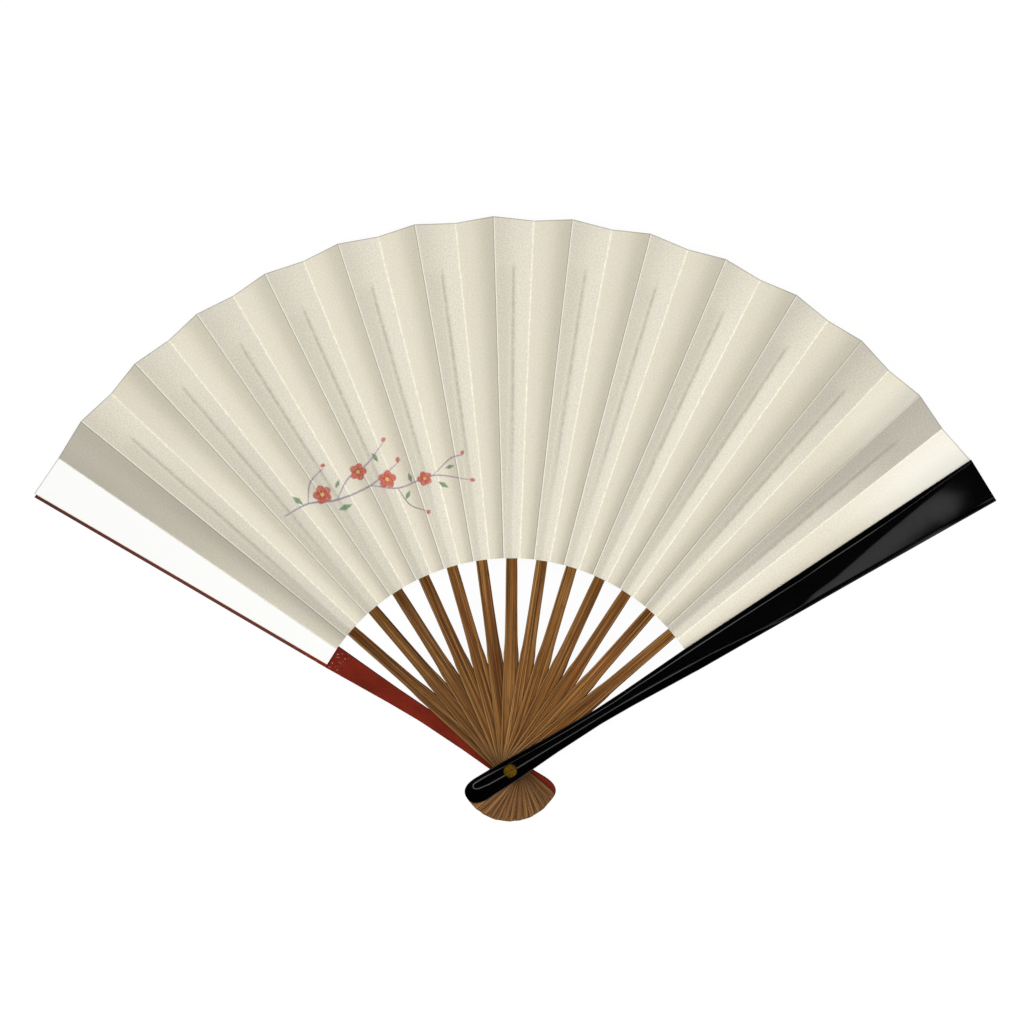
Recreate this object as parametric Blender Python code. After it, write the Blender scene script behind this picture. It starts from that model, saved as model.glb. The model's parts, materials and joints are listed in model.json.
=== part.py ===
"""A folding fan of bamboo ribs and pleated paper between two lacquered guards.

The fan lies open on its back. +Z is the axis of the pin and points at the reader, +Y runs up the
middle of the open leaf, and +X is to the right. The origin is on the pin's axis, on the flat back
face of the pin's head, level with the rear guard's back. Lengths are in metres.

Each rib lies in front of the one to its left, so the stack climbs from the rear guard on the left
to the front guard on the right. A rib is split where it enters the leaf: the stick below and the
slip inside the paper pocket. On the real fan they are one slat of bamboo that twists there.
"""

import math

import bmesh
import bpy
import numpy as np
from mathutils import Euler, Matrix, Vector

MM = 0.001

# The fan's opening
RIBS = 13
RIB_PITCH = math.radians(8.2)
GUARD_PITCH = math.radians(8.9)

# The stack on the pin, from the back
GUARD_THICKNESS = 3.0 * MM
STICK_THICKNESS = 1.2 * MM
STICK_GAP = 0.3 * MM

# The leaf: how far its rib panels lean, its edges and its paper
PLEAT_TILT = math.radians(25.6)
PEAK_RADIUS = 265.5 * MM
VALLEY_RADIUS = 263.8 * MM
LEAF_INNER_RADIUS = 101.5 * MM
PAPER_THICKNESS = 0.3 * MM
RIB_PANEL_SETBACK = 0.15 * MM
FREE_PANEL_SETBACK = 0.35 * MM
GLUE_LINE = 0.05 * MM
GUARD_MARGIN = 1.2 * MM

# The pocket between the leaf's two sheets, and the slip in it
POCKET_WALL = 0.15 * MM
POCKET_CLEARANCE = 0.05 * MM
POCKET_SEAM = 0.25 * MM
POCKET_RAMP = 0.6 * MM
SLIP_THICKNESS = 0.4 * MM
SLIP_TO_EDGE = 20.8 * MM
SLIP_POINT_LENGTH = 7.0 * MM
SLIP_SHOULDER_WIDTH = 1.8 * MM
SLIP_POINT_WIDTH = 0.6 * MM
SLIP_ENTRY_GAP = 0.1 * MM

# The sticks
TAIL_RADIUS = 24.6 * MM
TAIL_ROUNDING = 9.0 * MM
TAIL_SQUARENESS = 0.8
STICK_TAIL_WIDTH = 11.4 * MM
STICK_PIN_WIDTH = 10.0 * MM
STICK_NECK_WIDTH = 8.6 * MM
STICK_NECK_RADIUS = 30.0 * MM
STICK_OPENING_WIDTH = 8.0 * MM
STICK_OPENING_RADIUS = 56.0 * MM
STICK_LEAF_WIDTH = 5.4 * MM
STICK_TO_LEAF_GAP = 0.3 * MM

# The guards
GUARD_TAIL_WIDTH = 11.8 * MM
GUARD_PIN_WIDTH = 11.3 * MM
GUARD_NECK_WIDTH = 8.5 * MM
GUARD_NECK_RADIUS = 24.0 * MM
GUARD_WAIST_WIDTH = 7.1 * MM
GUARD_WAIST_RADIUS = 49.0 * MM
GUARD_FLARE_WIDTH = 8.3 * MM
GUARD_FLARE_RADIUS = 66.0 * MM
GUARD_LEAF_WIDTH = 12.1 * MM
GUARD_MIDDLE_WIDTH = 17.4 * MM
GUARD_TIP_WIDTH = 23.2 * MM
GUARD_CHAMFER_WIDTH = 1.7 * MM
GUARD_CHAMFER_DROP = 0.9 * MM
GUARD_RELIEF = 0.8 * MM
GUARD_RELIEF_RAMP = 0.3 * MM
GUARD_RELIEF_LEAD = 0.5 * MM

# The pin
PIN_DIAMETER = 3.0 * MM
PIN_HEAD_DIAMETER = 6.2 * MM
PIN_HEAD_THICKNESS = 0.9 * MM
PIN_CLEARANCE = 0.15 * MM
PIN_CAP_SOCKET = 0.5 * MM
CUT_OVERRUN = 1.0 * MM
PIN_SIDES = 32

MERGE_DISTANCE = 0.01 * MM
SHARP_ANGLE = math.radians(40)

TAIL_STEPS = 6
TAIL_LAST_ANGLE = math.radians(80)
FREE_PANEL_STEPS = 3

# Worked out from the sizes above
STACK_PITCH = STICK_THICKNESS + STICK_GAP
FIRST_STICK_HEIGHT = GUARD_THICKNESS + STICK_GAP + STICK_THICKNESS / 2
STACK_TOP = 2 * FIRST_STICK_HEIGHT + (RIBS - 1) * STACK_PITCH
OPENING = 2 * GUARD_PITCH + (RIBS - 1) * RIB_PITCH
REAR_ANGLE = (math.pi + OPENING) / 2
GUARD_SEAT = GUARD_THICKNESS - GUARD_RELIEF
FLAT_PANEL_HEIGHT = GUARD_SEAT + GLUE_LINE + PAPER_THICKNESS / 2
STICK_END_RADIUS = LEAF_INNER_RADIUS - STICK_TO_LEAF_GAP
RELIEF_RADIUS = LEAF_INNER_RADIUS - GUARD_RELIEF_LEAD
SLIP_END_RADIUS = VALLEY_RADIUS - SLIP_TO_EDGE
POCKET_HALF_HEIGHT = SLIP_THICKNESS / 2 + POCKET_CLEARANCE
GUARD_MIDDLE_RADIUS = (LEAF_INNER_RADIUS + PEAK_RADIUS) / 2


def rib_angle(rib):
    """The angle from +X of rib 1 to 13, or of the guard at 0 or 14, in the open fan."""
    if rib == 0:
        return REAR_ANGLE
    if rib > RIBS:
        return REAR_ANGLE - OPENING
    return REAR_ANGLE - GUARD_PITCH - (rib - 1) * RIB_PITCH


def rib_height(rib):
    """The height of a panel's middle: on the guard at 0 and 14, and on its rib between them."""
    if rib == 0:
        return FLAT_PANEL_HEIGHT
    if rib > RIBS:
        return STACK_TOP - FLAT_PANEL_HEIGHT
    return FIRST_STICK_HEIGHT + (rib - 1) * STACK_PITCH


def panel_tilt(rib):
    """A rib panel leans with its right side down; the two on the guards lie flat."""
    return PLEAT_TILT if 0 < rib <= RIBS else 0.0


def panel_turn(rib):
    """The turn of a panel's frame: x runs out along the rib, y to the left, z out of the paper."""
    return Euler((panel_tilt(rib), 0, rib_angle(rib)))


def panel_frame(rib):
    """The panel's frame as a matrix, with its origin on the pin's axis."""
    return Matrix.Translation((0, 0, rib_height(rib))) @ panel_turn(rib).to_matrix().to_4x4()


def closing_width(radius):
    """The width of a pleat that closes the zigzag at a radius: the next crease of the same kind is
    one rib pitch round and one stack pitch up, and the two panels between are equally wide."""
    across = radius * RIB_PITCH
    step = math.hypot(across, STACK_PITCH)
    return step / (2 * math.cos(PLEAT_TILT + math.atan2(STACK_PITCH, across)))


def pleat_width(radius):
    """The width of every pleat at a radius. Its creases are straight lines."""
    share = (radius - LEAF_INNER_RADIUS) / (PEAK_RADIUS - LEAF_INNER_RADIUS)
    inner, outer = closing_width(LEAF_INNER_RADIUS), closing_width(PEAK_RADIUS)
    return inner + share * (outer - inner)


def crease_reach(radius):
    """How far out along the rib a crease ends, for an end at this radius in the open fan."""
    return math.sqrt(radius**2 - (pleat_width(radius) / 2 * math.cos(PLEAT_TILT)) ** 2)


def crease_point(side, share):
    """A point on a panel's crease in the panel's frame. side is +1 for the left crease, a peak, and
    -1 for the right one, a valley. share runs from 0 at the leaf's inner edge to 1 at its outer."""
    end = crease_reach(PEAK_RADIUS if side > 0 else VALLEY_RADIUS)
    reach = LEAF_INNER_RADIUS + share * (end - LEAF_INNER_RADIUS)
    return Vector((reach, side * pleat_width(reach) / 2, 0))


def material(name, color, roughness, metallic=0.0):
    made = bpy.data.materials.new(name)
    made.use_nodes = True
    shader = made.node_tree.nodes["Principled BSDF"]
    shader.inputs["Base Color"].default_value = (*color, 1)
    shader.inputs["Roughness"].default_value = roughness
    shader.inputs["Metallic"].default_value = metallic
    return made


def mesh_of(name, points, faces, finish):
    mesh = bpy.data.meshes.new(name)
    mesh.from_pydata([tuple(point) for point in points], [], faces)
    mesh.materials.append(finish)
    return mesh


def walls(rings, count):
    """The quads between rings of the same number of points, listed one ring after another."""
    return [
        (a + k, a + (k + 1) % count, a + count + (k + 1) % count, a + count + k)
        for a in range(0, (rings - 1) * count, count)
        for k in range(count)
    ]


def end_strips(count):
    """The quads that close a ring whose points pair up across it, first with last."""
    return [(k, k + 1, count - 2 - k, count - 1 - k) for k in range(count // 2 - 1)]


def lofted(name, sections, finish):
    """A closed bar through equal sections, listed outwards from the pin. A section's points go
    round counterclockwise as seen from the tip, and pair up first with last."""
    count = len(sections[0])
    points = [point for section in sections for point in section]
    last = len(points) - count
    faces = walls(len(sections), count)
    faces += [quad[::-1] for quad in end_strips(count)]
    faces += [tuple(last + corner for corner in quad) for quad in end_strips(count)]
    return mesh_of(name, points, faces, finish)


def slab(x, left, right, low, high):
    """A flat section at x, from y = left to y = right and from z = low to z = high."""
    return [(x, left, high), (x, right, high), (x, right, low), (x, left, low)]


def placed(name, mesh, location=(0, 0, 0), turn=(0, 0, 0), parent=None):
    made = bpy.data.objects.new(name, mesh)
    bpy.context.collection.objects.link(made)
    made.parent = parent
    made.location = location
    made.rotation_euler = turn
    return made


def turned(name, profile, finish):
    """A solid turned round Z from a profile of (radius, height) that starts and ends on the axis."""
    shape = bmesh.new()
    ring = [shape.verts.new((radius, 0, height)) for radius, height in profile]
    for start, end in zip(ring, ring[1:]):
        shape.edges.new((start, end))
    bmesh.ops.spin(
        shape,
        geom=shape.verts[:] + shape.edges[:],
        axis=(0, 0, 1),
        cent=(0, 0, 0),
        steps=PIN_SIDES,
        angle=math.tau,
    )
    bmesh.ops.remove_doubles(shape, verts=shape.verts[:], dist=MERGE_DISTANCE)
    bmesh.ops.recalc_face_normals(shape, faces=shape.faces[:])
    mesh = bpy.data.meshes.new(name)
    shape.to_mesh(mesh)
    shape.free()
    mesh.materials.append(finish)
    mesh.shade_smooth()
    mesh.set_sharp_from_angle(angle=SHARP_ANGLE)
    return mesh


def cutter(name, diameter, bottom, top):
    """A round cutter on the pin's axis, kept out of the model."""
    radius = diameter / 2
    made = placed(name, turned(name, [(0, bottom), (radius, bottom), (radius, top), (0, top)], None))
    made.hide_render = True
    made.display_type = "WIRE"
    return made


def cut(piece, tool):
    step = piece.modifiers.new(tool.name, "BOOLEAN")
    step.operation = "DIFFERENCE"
    step.object = tool


def tail_stations(width):
    """The rounded tail as (distance along the rib, width), from its end to its full width. It is
    half a squarish ellipse, ended just short of its point."""
    shoulder = TAIL_RADIUS - TAIL_ROUNDING
    angles = [TAIL_LAST_ANGLE * (1 - step / TAIL_STEPS) for step in range(TAIL_STEPS + 1)]
    length = TAIL_ROUNDING / math.sin(TAIL_LAST_ANGLE) ** TAIL_SQUARENESS
    return [
        (
            -shoulder - length * math.sin(angle) ** TAIL_SQUARENESS,
            width * math.cos(angle) ** TAIL_SQUARENESS,
        )
        for angle in angles
    ]


def stick_mesh(finish):
    """The slat that shows: a round tail, wide round the pin, narrowing to the leaf."""
    stations = tail_stations(STICK_TAIL_WIDTH) + [
        (0, STICK_PIN_WIDTH),
        (STICK_NECK_RADIUS, STICK_NECK_WIDTH),
        (STICK_OPENING_RADIUS, STICK_OPENING_WIDTH),
        (STICK_END_RADIUS, STICK_LEAF_WIDTH),
    ]
    half = STICK_THICKNESS / 2
    return lofted("stick", [slab(x, w / 2, -w / 2, -half, half) for x, w in stations], finish)


def slip_width(radius):
    """The slip's width: it narrows evenly to its shoulder, then comes to a point."""
    shoulder = SLIP_END_RADIUS - SLIP_POINT_LENGTH
    radii = [LEAF_INNER_RADIUS, shoulder, SLIP_END_RADIUS]
    widths = [STICK_LEAF_WIDTH, SLIP_SHOULDER_WIDTH, SLIP_POINT_WIDTH]
    return float(np.interp(radius, radii, widths))


def slip_mesh(finish):
    """The thin end of the slat that lies inside the leaf."""
    half = SLIP_THICKNESS / 2
    start = LEAF_INNER_RADIUS + SLIP_ENTRY_GAP
    radii = (start, SLIP_END_RADIUS - SLIP_POINT_LENGTH, SLIP_END_RADIUS)
    sections = [slab(x, slip_width(x) / 2, -slip_width(x) / 2, -half, half) for x in radii]
    return lofted("slip", sections, finish)


def outer_end(y):
    """How far out a panel's straight outer end lies, at y to the left of the panel's middle."""
    left, right = crease_point(1, 1), crease_point(-1, 1)
    return right.x + (y - right.y) / (left.y - right.y) * (left.x - right.x)


def ribbed_section(x, swelling, slot, outer=False):
    """Twelve points round a rib panel: on the front from left to right, then back behind. They
    are its two edges, and the feet and shoulders of the swelling over half a slot's width."""
    paper = PAPER_THICKNESS / 2
    shoulder = slot + POCKET_CLEARANCE + POCKET_SEAM
    left = crease_point(1, 1).y if outer else pleat_width(x) / 2
    right = crease_point(-1, 1).y if outer else -left
    front = [
        (left - RIB_PANEL_SETBACK, paper),
        (shoulder + POCKET_RAMP, paper),
        (shoulder, swelling),
        (-shoulder, swelling),
        (-shoulder - POCKET_RAMP, paper),
        (right + RIB_PANEL_SETBACK, paper),
    ]
    rim = front + [(y, -z) for y, z in reversed(front)]
    return [(outer_end(y) if outer else x, y, z) for y, z in rim]


def ribbed_panel_mesh(finish):
    """A rib panel: one thickness of paper at its sides, and two sheets parted round the slip. The
    pocket is a blind slot from the inner edge."""
    paper = PAPER_THICKNESS / 2
    swelling = POCKET_HALF_HEIGHT + POCKET_WALL
    slip_shoulder = SLIP_END_RADIUS - SLIP_POINT_LENGTH
    slot_end = SLIP_END_RADIUS + POCKET_CLEARANCE
    cover_end = slot_end + POCKET_WALL
    point = SLIP_POINT_WIDTH / 2
    sections = [
        ribbed_section(LEAF_INNER_RADIUS, swelling, slip_width(LEAF_INNER_RADIUS) / 2),
        ribbed_section(slip_shoulder, swelling, slip_width(slip_shoulder) / 2),
        ribbed_section(cover_end, swelling, point),
        ribbed_section(cover_end + POCKET_RAMP, paper, point),
        ribbed_section(VALLEY_RADIUS, paper, point, outer=True),
    ]
    count = len(sections[0])
    points = [corner for section in sections for corner in section]
    last, slot = len(points) - count, len(points)
    faces = walls(len(sections), count)
    faces += [tuple(last + corner for corner in quad) for quad in end_strips(count)]
    high = POCKET_HALF_HEIGHT
    for x in (LEAF_INNER_RADIUS, slip_shoulder, slot_end):
        half = slip_width(x) / 2 + POCKET_CLEARANCE
        points += slab(x, half, -half, -high, high)
    faces += [tuple(slot + corner for corner in quad[::-1]) for quad in walls(3, 4)]
    faces.append(tuple(slot + corner for corner in (11, 10, 9, 8)))
    a, b, c, d = range(slot, slot + 4)
    faces += [(11, 10, 1, 0), (7, 6, 5, 4), (a, b, 3, 2), (c, d, 9, 8)]
    faces += [(10, 9, d, a, 2, 1), (b, c, 8, 7, 4, 3)]
    return mesh_of("ribbed_panel", points, faces, finish)


def guard_width(radius):
    """The guard's width along its length, without the rounded tail. It has a waist under the
    fingers."""
    radii = [0, GUARD_NECK_RADIUS, GUARD_WAIST_RADIUS, GUARD_FLARE_RADIUS, LEAF_INNER_RADIUS]
    widths = [GUARD_PIN_WIDTH, GUARD_NECK_WIDTH, GUARD_WAIST_WIDTH, GUARD_FLARE_WIDTH, GUARD_LEAF_WIDTH]
    radii += [GUARD_MIDDLE_RADIUS, PEAK_RADIUS]
    widths += [GUARD_MIDDLE_WIDTH, GUARD_TIP_WIDTH]
    return float(np.interp(radius, radii, widths))


def flat_panel_mesh(finish, outward):
    """A panel glued flat to a guard. Its outward side, +1 for left, keeps a margin to the guard's
    edge, and its other side ends at the first crease."""
    half = PAPER_THICKNESS / 2
    sections = []
    for x in (LEAF_INNER_RADIUS, GUARD_MIDDLE_RADIUS, PEAK_RADIUS):
        inward = pleat_width(x) / 2 - RIB_PANEL_SETBACK
        edge = guard_width(x) / 2 - GUARD_MARGIN
        left, right = (edge, -inward) if outward > 0 else (inward, -edge)
        section = slab(x, left, right, -half, half)
        if x == PEAK_RADIUS:
            section = [(outer_end(y), y, z) for _, y, z in section]
        sections.append(section)
    return lofted("flat_panel", sections, finish)


def free_panel_edges(rib, share):
    """The two creases of the free panel after a rib panel, as points in the rib panel's frame."""
    onto = panel_frame(rib).inverted() @ panel_frame(rib + 1)
    return crease_point(-1, share), onto @ crease_point(1, share)


def crease_direction():
    """The direction of a rib panel's right crease, outwards, in the panel's frame."""
    return (crease_point(-1, 1) - crease_point(-1, 0)).normalized()


def crease_hinge(rib):
    """The axis that a free panel folds about, in the frame of the rib panel on its left.

    It runs along that panel's right crease, raised over the paper so that the folded panel lies
    halfway to the next one. Returns a point on it, its turn, and the angle between the panels'
    normals in the open fan.
    """
    near, far = free_panel_edges(rib, 0.5)
    outward = crease_direction()
    lean = Vector((0, 0, 1)).angle((far - near).cross(outward))
    halfway = (rib_height(rib + 1) - rib_height(rib)) / 2
    raised = crease_point(-1, 0) + Vector((0, 0, halfway / (1 + math.cos(lean))))
    return raised, Euler((0, 0, math.atan2(outward.y, outward.x))), lean


def free_panel_mesh(rib, finish):
    """The free panel after a rib panel, in the frame of its hinge: a thin slab from crease to
    crease, set back from both. It twists a little, because its creases aren't parallel."""
    hinge, turn, _ = crease_hinge(rib)
    into = (Matrix.Translation(hinge) @ turn.to_matrix().to_4x4()).inverted()
    sections = []
    for step in range(FREE_PANEL_STEPS + 1):
        near, far = free_panel_edges(rib, step / FREE_PANEL_STEPS)
        across = (far - near).normalized()
        rise = across.cross(crease_direction()).normalized() * PAPER_THICKNESS / 2
        near, far = near + across * FREE_PANEL_SETBACK, far - across * FREE_PANEL_SETBACK
        corners = (near + rise, far + rise, far - rise, near - rise)
        sections.append([into @ corner for corner in corners])
    return lofted("free_panel", sections, finish)


def guard_mesh(finish):
    """A guard as it lies at the back: its outer face down, with a flat middle band and a chamfer
    along each edge. The inner face is cut back where the leaf is glued on."""
    thick = [(x, width, GUARD_THICKNESS) for x, width in tail_stations(GUARD_TAIL_WIDTH)]
    ramp_start = RELIEF_RADIUS - GUARD_RELIEF_RAMP
    handle = (0, GUARD_NECK_RADIUS, GUARD_WAIST_RADIUS, GUARD_FLARE_RADIUS, ramp_start)
    thick += [(x, guard_width(x), GUARD_THICKNESS) for x in handle]
    thin = (RELIEF_RADIUS, GUARD_MIDDLE_RADIUS, PEAK_RADIUS)
    sections = []
    for x, width, top in thick + [(x, guard_width(x), GUARD_SEAT) for x in thin]:
        side = width / 2
        band = max(side - GUARD_CHAMFER_WIDTH, side / 2)
        left = [(x, band, 0), (x, side, GUARD_CHAMFER_DROP), (x, side, top)]
        sections.append(left + [(x, -y, z) for x, y, z in reversed(left)])
    return lofted("guard", sections, finish)


def add_guards(finish):
    """The rear guard, and the front one, which is the same piece turned over."""
    mesh = guard_mesh(finish)
    rear = placed("guard_rear", mesh, turn=(0, 0, rib_angle(0)))
    front = placed("guard_front", mesh, (0, 0, STACK_TOP), (math.pi, 0, rib_angle(RIBS + 1)))
    recess = PIN_HEAD_DIAMETER + 2 * PIN_CLEARANCE
    depth = PIN_HEAD_THICKNESS + PIN_CLEARANCE
    cut(rear, cutter("rear_recess", recess, -CUT_OVERRUN, depth))
    cut(front, cutter("front_recess", recess, STACK_TOP - depth, STACK_TOP + CUT_OVERRUN))
    return [rear, front]


def add_pin(finish):
    """The pin: a shaft with a head at the back, riveted into a cap at the front."""
    shaft, head = PIN_DIAMETER / 2, PIN_HEAD_DIAMETER / 2
    cap_floor = STACK_TOP - PIN_HEAD_THICKNESS
    socket = cap_floor + PIN_CAP_SOCKET
    shaft_top = socket - PIN_CLEARANCE
    pin = [(0, 0), (head, 0), (head, PIN_HEAD_THICKNESS), (shaft, PIN_HEAD_THICKNESS)]
    pin += [(shaft, shaft_top), (0, shaft_top)]
    bore = shaft + PIN_CLEARANCE
    cap = [(0, socket), (bore, socket), (bore, cap_floor), (head, cap_floor)]
    cap += [(head, STACK_TOP), (0, STACK_TOP)]
    placed("pivot_pin", turned("pivot_pin", pin, finish))
    placed("pin_cap_front", turned("pin_cap_front", cap, finish))


def add_sticks(finish):
    mesh = stick_mesh(finish)
    return [
        placed(f"stick_{rib:02}", mesh, (0, 0, rib_height(rib)), (0, 0, rib_angle(rib)))
        for rib in range(1, RIBS + 1)
    ]


def add_leaf(paper, bamboo):
    """The rib panels with their slips, each on an empty on its rib, and the free panels, each
    with its origin on the crease that it folds about."""
    slip, ribbed, free = slip_mesh(bamboo), ribbed_panel_mesh(paper), free_panel_mesh(1, paper)
    flat = {0: flat_panel_mesh(paper, 1), RIBS + 1: flat_panel_mesh(paper, -1)}
    ends = {0: free_panel_mesh(0, paper), RIBS: free_panel_mesh(RIBS, paper)}
    for rib in range(RIBS + 2):
        axis = placed(f"leaf_axis_{rib:02}", None, (0, 0, rib_height(rib)), panel_turn(rib))
        placed(f"leaf_panel_{rib:02}", flat.get(rib, ribbed), parent=axis)
        if rib not in flat:
            placed(f"slip_{rib:02}", slip, parent=axis)
        if rib <= RIBS:
            hinge, turn, _ = crease_hinge(rib)
            placed(f"leaf_fold_{rib + 1:02}", ends.get(rib, free), hinge, turn, axis)


def main():
    for old in list(bpy.data.objects):
        bpy.data.objects.remove(old)
    bamboo = material("bamboo", (0.22, 0.09, 0.026), 0.5)
    paper = material("paper", (0.80, 0.76, 0.64), 0.85)
    lacquer = material("lacquer", (0.005, 0.005, 0.005), 0.15)
    brass = material("brass", (0.26, 0.17, 0.02), 0.45, 1.0)
    hole = cutter("pin_hole", PIN_DIAMETER + 2 * PIN_CLEARANCE, -CUT_OVERRUN, STACK_TOP + CUT_OVERRUN)
    for slat in add_guards(lacquer) + add_sticks(bamboo):
        cut(slat, hole)
    add_leaf(paper, bamboo)
    add_pin(brass)


main()
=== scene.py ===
# %% [markdown]
# # A folding fan
# A paper leaf in pleats, thirteen bamboo ribs and two lacquered guards turn on one pin. The packed
# CAD model is the frame, and this script dresses it: each new piece takes its place from a joint or
# a node, and the rib panels, guards and pin then ride on their bodies.

import functools
import json
import math

import bmesh
import bpy
import numpy as np
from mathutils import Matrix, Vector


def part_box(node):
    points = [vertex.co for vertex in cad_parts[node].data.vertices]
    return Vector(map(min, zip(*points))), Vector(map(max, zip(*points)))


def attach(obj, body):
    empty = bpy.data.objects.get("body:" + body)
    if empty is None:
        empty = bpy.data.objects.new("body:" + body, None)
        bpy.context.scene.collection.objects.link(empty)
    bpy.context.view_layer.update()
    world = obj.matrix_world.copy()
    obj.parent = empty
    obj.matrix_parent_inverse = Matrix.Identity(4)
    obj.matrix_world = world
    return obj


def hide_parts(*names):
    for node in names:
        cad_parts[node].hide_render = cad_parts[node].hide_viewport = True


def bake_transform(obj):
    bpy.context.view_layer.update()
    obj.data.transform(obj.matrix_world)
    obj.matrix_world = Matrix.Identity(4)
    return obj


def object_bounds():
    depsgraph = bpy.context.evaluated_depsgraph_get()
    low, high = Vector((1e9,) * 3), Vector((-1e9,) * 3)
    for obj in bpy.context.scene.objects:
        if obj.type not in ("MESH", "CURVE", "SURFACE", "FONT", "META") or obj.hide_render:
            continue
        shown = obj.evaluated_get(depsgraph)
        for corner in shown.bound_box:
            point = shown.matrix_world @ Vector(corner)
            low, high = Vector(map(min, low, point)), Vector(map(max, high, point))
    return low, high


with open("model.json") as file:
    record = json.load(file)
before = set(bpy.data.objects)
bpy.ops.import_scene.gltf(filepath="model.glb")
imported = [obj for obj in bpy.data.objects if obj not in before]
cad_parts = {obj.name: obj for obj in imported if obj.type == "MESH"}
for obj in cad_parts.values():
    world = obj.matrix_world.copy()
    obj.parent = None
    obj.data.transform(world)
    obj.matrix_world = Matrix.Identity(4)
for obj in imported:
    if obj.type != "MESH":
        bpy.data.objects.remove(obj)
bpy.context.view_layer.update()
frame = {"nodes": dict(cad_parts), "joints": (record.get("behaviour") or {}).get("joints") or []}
MM = 0.001
joints = {joint["name"]: joint for joint in frame["joints"]}
print(len(frame["nodes"]), "nodes and", len(joints), "joints loaded")

# %% [markdown]
# ## Where the ribs and panels are
# The ribs fan out round the pin, each one step higher than its neighbour to the left. Panel 0 is
# glued to the rear guard and panel 14 to the front one. Angles could be typed in again, but the
# joints hold them: a leaf's tilt axis lies along its rib, and the height of its swing joint is the
# rib's own height.

# %% Angles and heights from the joints
RIBS = sum(name.endswith("_swing") for name in joints)
LAST = RIBS + 1


def travel(name):
    """The joint's highest angle."""
    return math.radians(joints[name]["range_deg"][1])


def middle_height(node):
    """Halfway between the node's lowest and highest point."""
    low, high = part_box(node)
    return (low.z + high.z) / 2


leans = np.full(RIBS + 2, travel("leaf_01_tilt"))
leans[[0, LAST]] = 0
angles = np.zeros(RIBS + 2)
heights = np.zeros(RIBS + 2)
for rib in range(1, LAST):
    axis = joints[f"leaf_{rib:02}_tilt"]["axis"]
    angles[rib] = math.atan2(-axis[1], -axis[0])
    heights[rib] = joints[f"rib_{rib:02}_swing"]["pos_m"][2]
angles[0] = angles[1] + travel("rib_01_swing")
angles[LAST] = angles[0] - travel("fan_fold")
heights[0] = middle_height("leaf_panel_00")
heights[LAST] = middle_height(f"leaf_panel_{LAST}")
RIB_PITCH = angles[1] - angles[2]
STACK_PITCH = heights[2] - heights[1]
STACK_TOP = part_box("guard_front")[1].z
print("ribs from", np.degrees(angles[1]).round(1), "to", np.degrees(angles[RIBS]).round(1), "degrees")

# %% [markdown]
# ## Grids, shells and pieces
# Every thin thing here, such as a sheet of paper, a slat or a guard, is a shell: one grid of points
# for its front, one for its back, and a strip round the rim. Rows run outwards along the rib and
# columns from right to left, so the faces look at the reader. Solidify could give the wall too, but
# with both faces as arrays it can swell, thin out or be mitred.

# %% Helpers for arrays and pieces
def unit(vectors):
    """Each vector divided by its length."""
    return vectors / np.linalg.norm(vectors, axis=-1, keepdims=True)


def smooth(values, start, end):
    """Rises from 0 at start to 1 at end with level ends."""
    share = np.clip((values - start) / (end - start), 0, 1)
    return share * share * (3 - 2 * share)


def turn_matrix(angle, lean):
    """Rotation that takes x out along the rib at this angle, y to its left and z out of a panel
    whose left side is raised by lean."""
    c, s, cl, sl = math.cos(angle), math.sin(angle), math.cos(lean), math.sin(lean)
    return np.array([[c, -s * cl, s * sl], [s, c * cl, -c * sl], [0, sl, cl]])


turns = [turn_matrix(angles[rib], leans[rib]) for rib in range(RIBS + 2)]


def in_row(points, rib):
    """Points of a panel's or rib's own frame, turned and raised to their place in the fan."""
    return points @ turns[rib].T + np.array([0, 0, heights[rib]])


def shell_faces(rows, columns):
    """Quads of a closed shell whose front grid comes before its back grid, and how many are front,
    back and rim."""
    count = rows * columns
    ids = np.arange(count).reshape(rows, columns)
    front = np.stack([ids[:-1, :-1], ids[1:, :-1], ids[1:, 1:], ids[:-1, 1:]], -1).reshape(-1, 4)
    rim = np.concatenate([ids[:, 0], ids[-1, 1:], ids[-2::-1, -1], ids[0, -2:0:-1]])
    after = np.roll(rim, -1)
    sides = np.stack([after, rim, rim + count, after + count], -1)
    return np.concatenate([front, front[:, ::-1] + count, sides]), (len(front), len(front), len(sides))


def place_in_scene(name, data):
    """A new object in the scene with this data."""
    made = bpy.data.objects.new(name, data)
    bpy.context.scene.collection.objects.link(made)
    return made


def make_piece(name, points, quads, finishes, finish_of=None, flat=None, fields=(), sharp=40):
    """A mesh object from arrays. flat is a UV in metres and fields holds a named number for each
    point, both for all points or for one grid that every face of a shell repeats. The field
    called paint holds a colour for each point."""
    mesh = bpy.data.meshes.new(name)
    mesh.from_pydata(points.reshape(-1, 3).tolist(), [], quads.tolist())
    count = len(mesh.vertices)
    for finish in finishes:
        mesh.materials.append(finish)
    if finish_of is not None:
        mesh.polygons.foreach_set("material_index", np.asarray(finish_of, np.int32))
    if flat is not None:
        layer = mesh.uv_layers.new(name="flat")
        layer.data.foreach_set("uv", np.resize(flat, (count, 2))[quads.ravel()].astype(np.float32).ravel())
    for field, values in dict(fields).items():
        kind, key, parts = ("FLOAT_COLOR", "color", 4) if field == "paint" else ("FLOAT", "value", 1)
        values = np.resize(values, count * parts).astype(np.float32)
        mesh.attributes.new(field, kind, "POINT").data.foreach_set(key, values)
    mesh.shade_smooth()
    mesh.set_sharp_from_angle(angle=math.radians(sharp))
    return place_in_scene(name, mesh)


print("a 3 by 4 shell has", len(shell_faces(3, 4)[0]), "faces")

# %% [markdown]
# ## Writing materials with nodes
# A finish is a small graph of nodes. These helpers add a node, do a sum, map a range softly, mix
# two colours or lay stains over one. A socket knows its tree, so most helpers need no tree. Colours
# are written as they look on a screen and turned into a shader's linear numbers.

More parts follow.
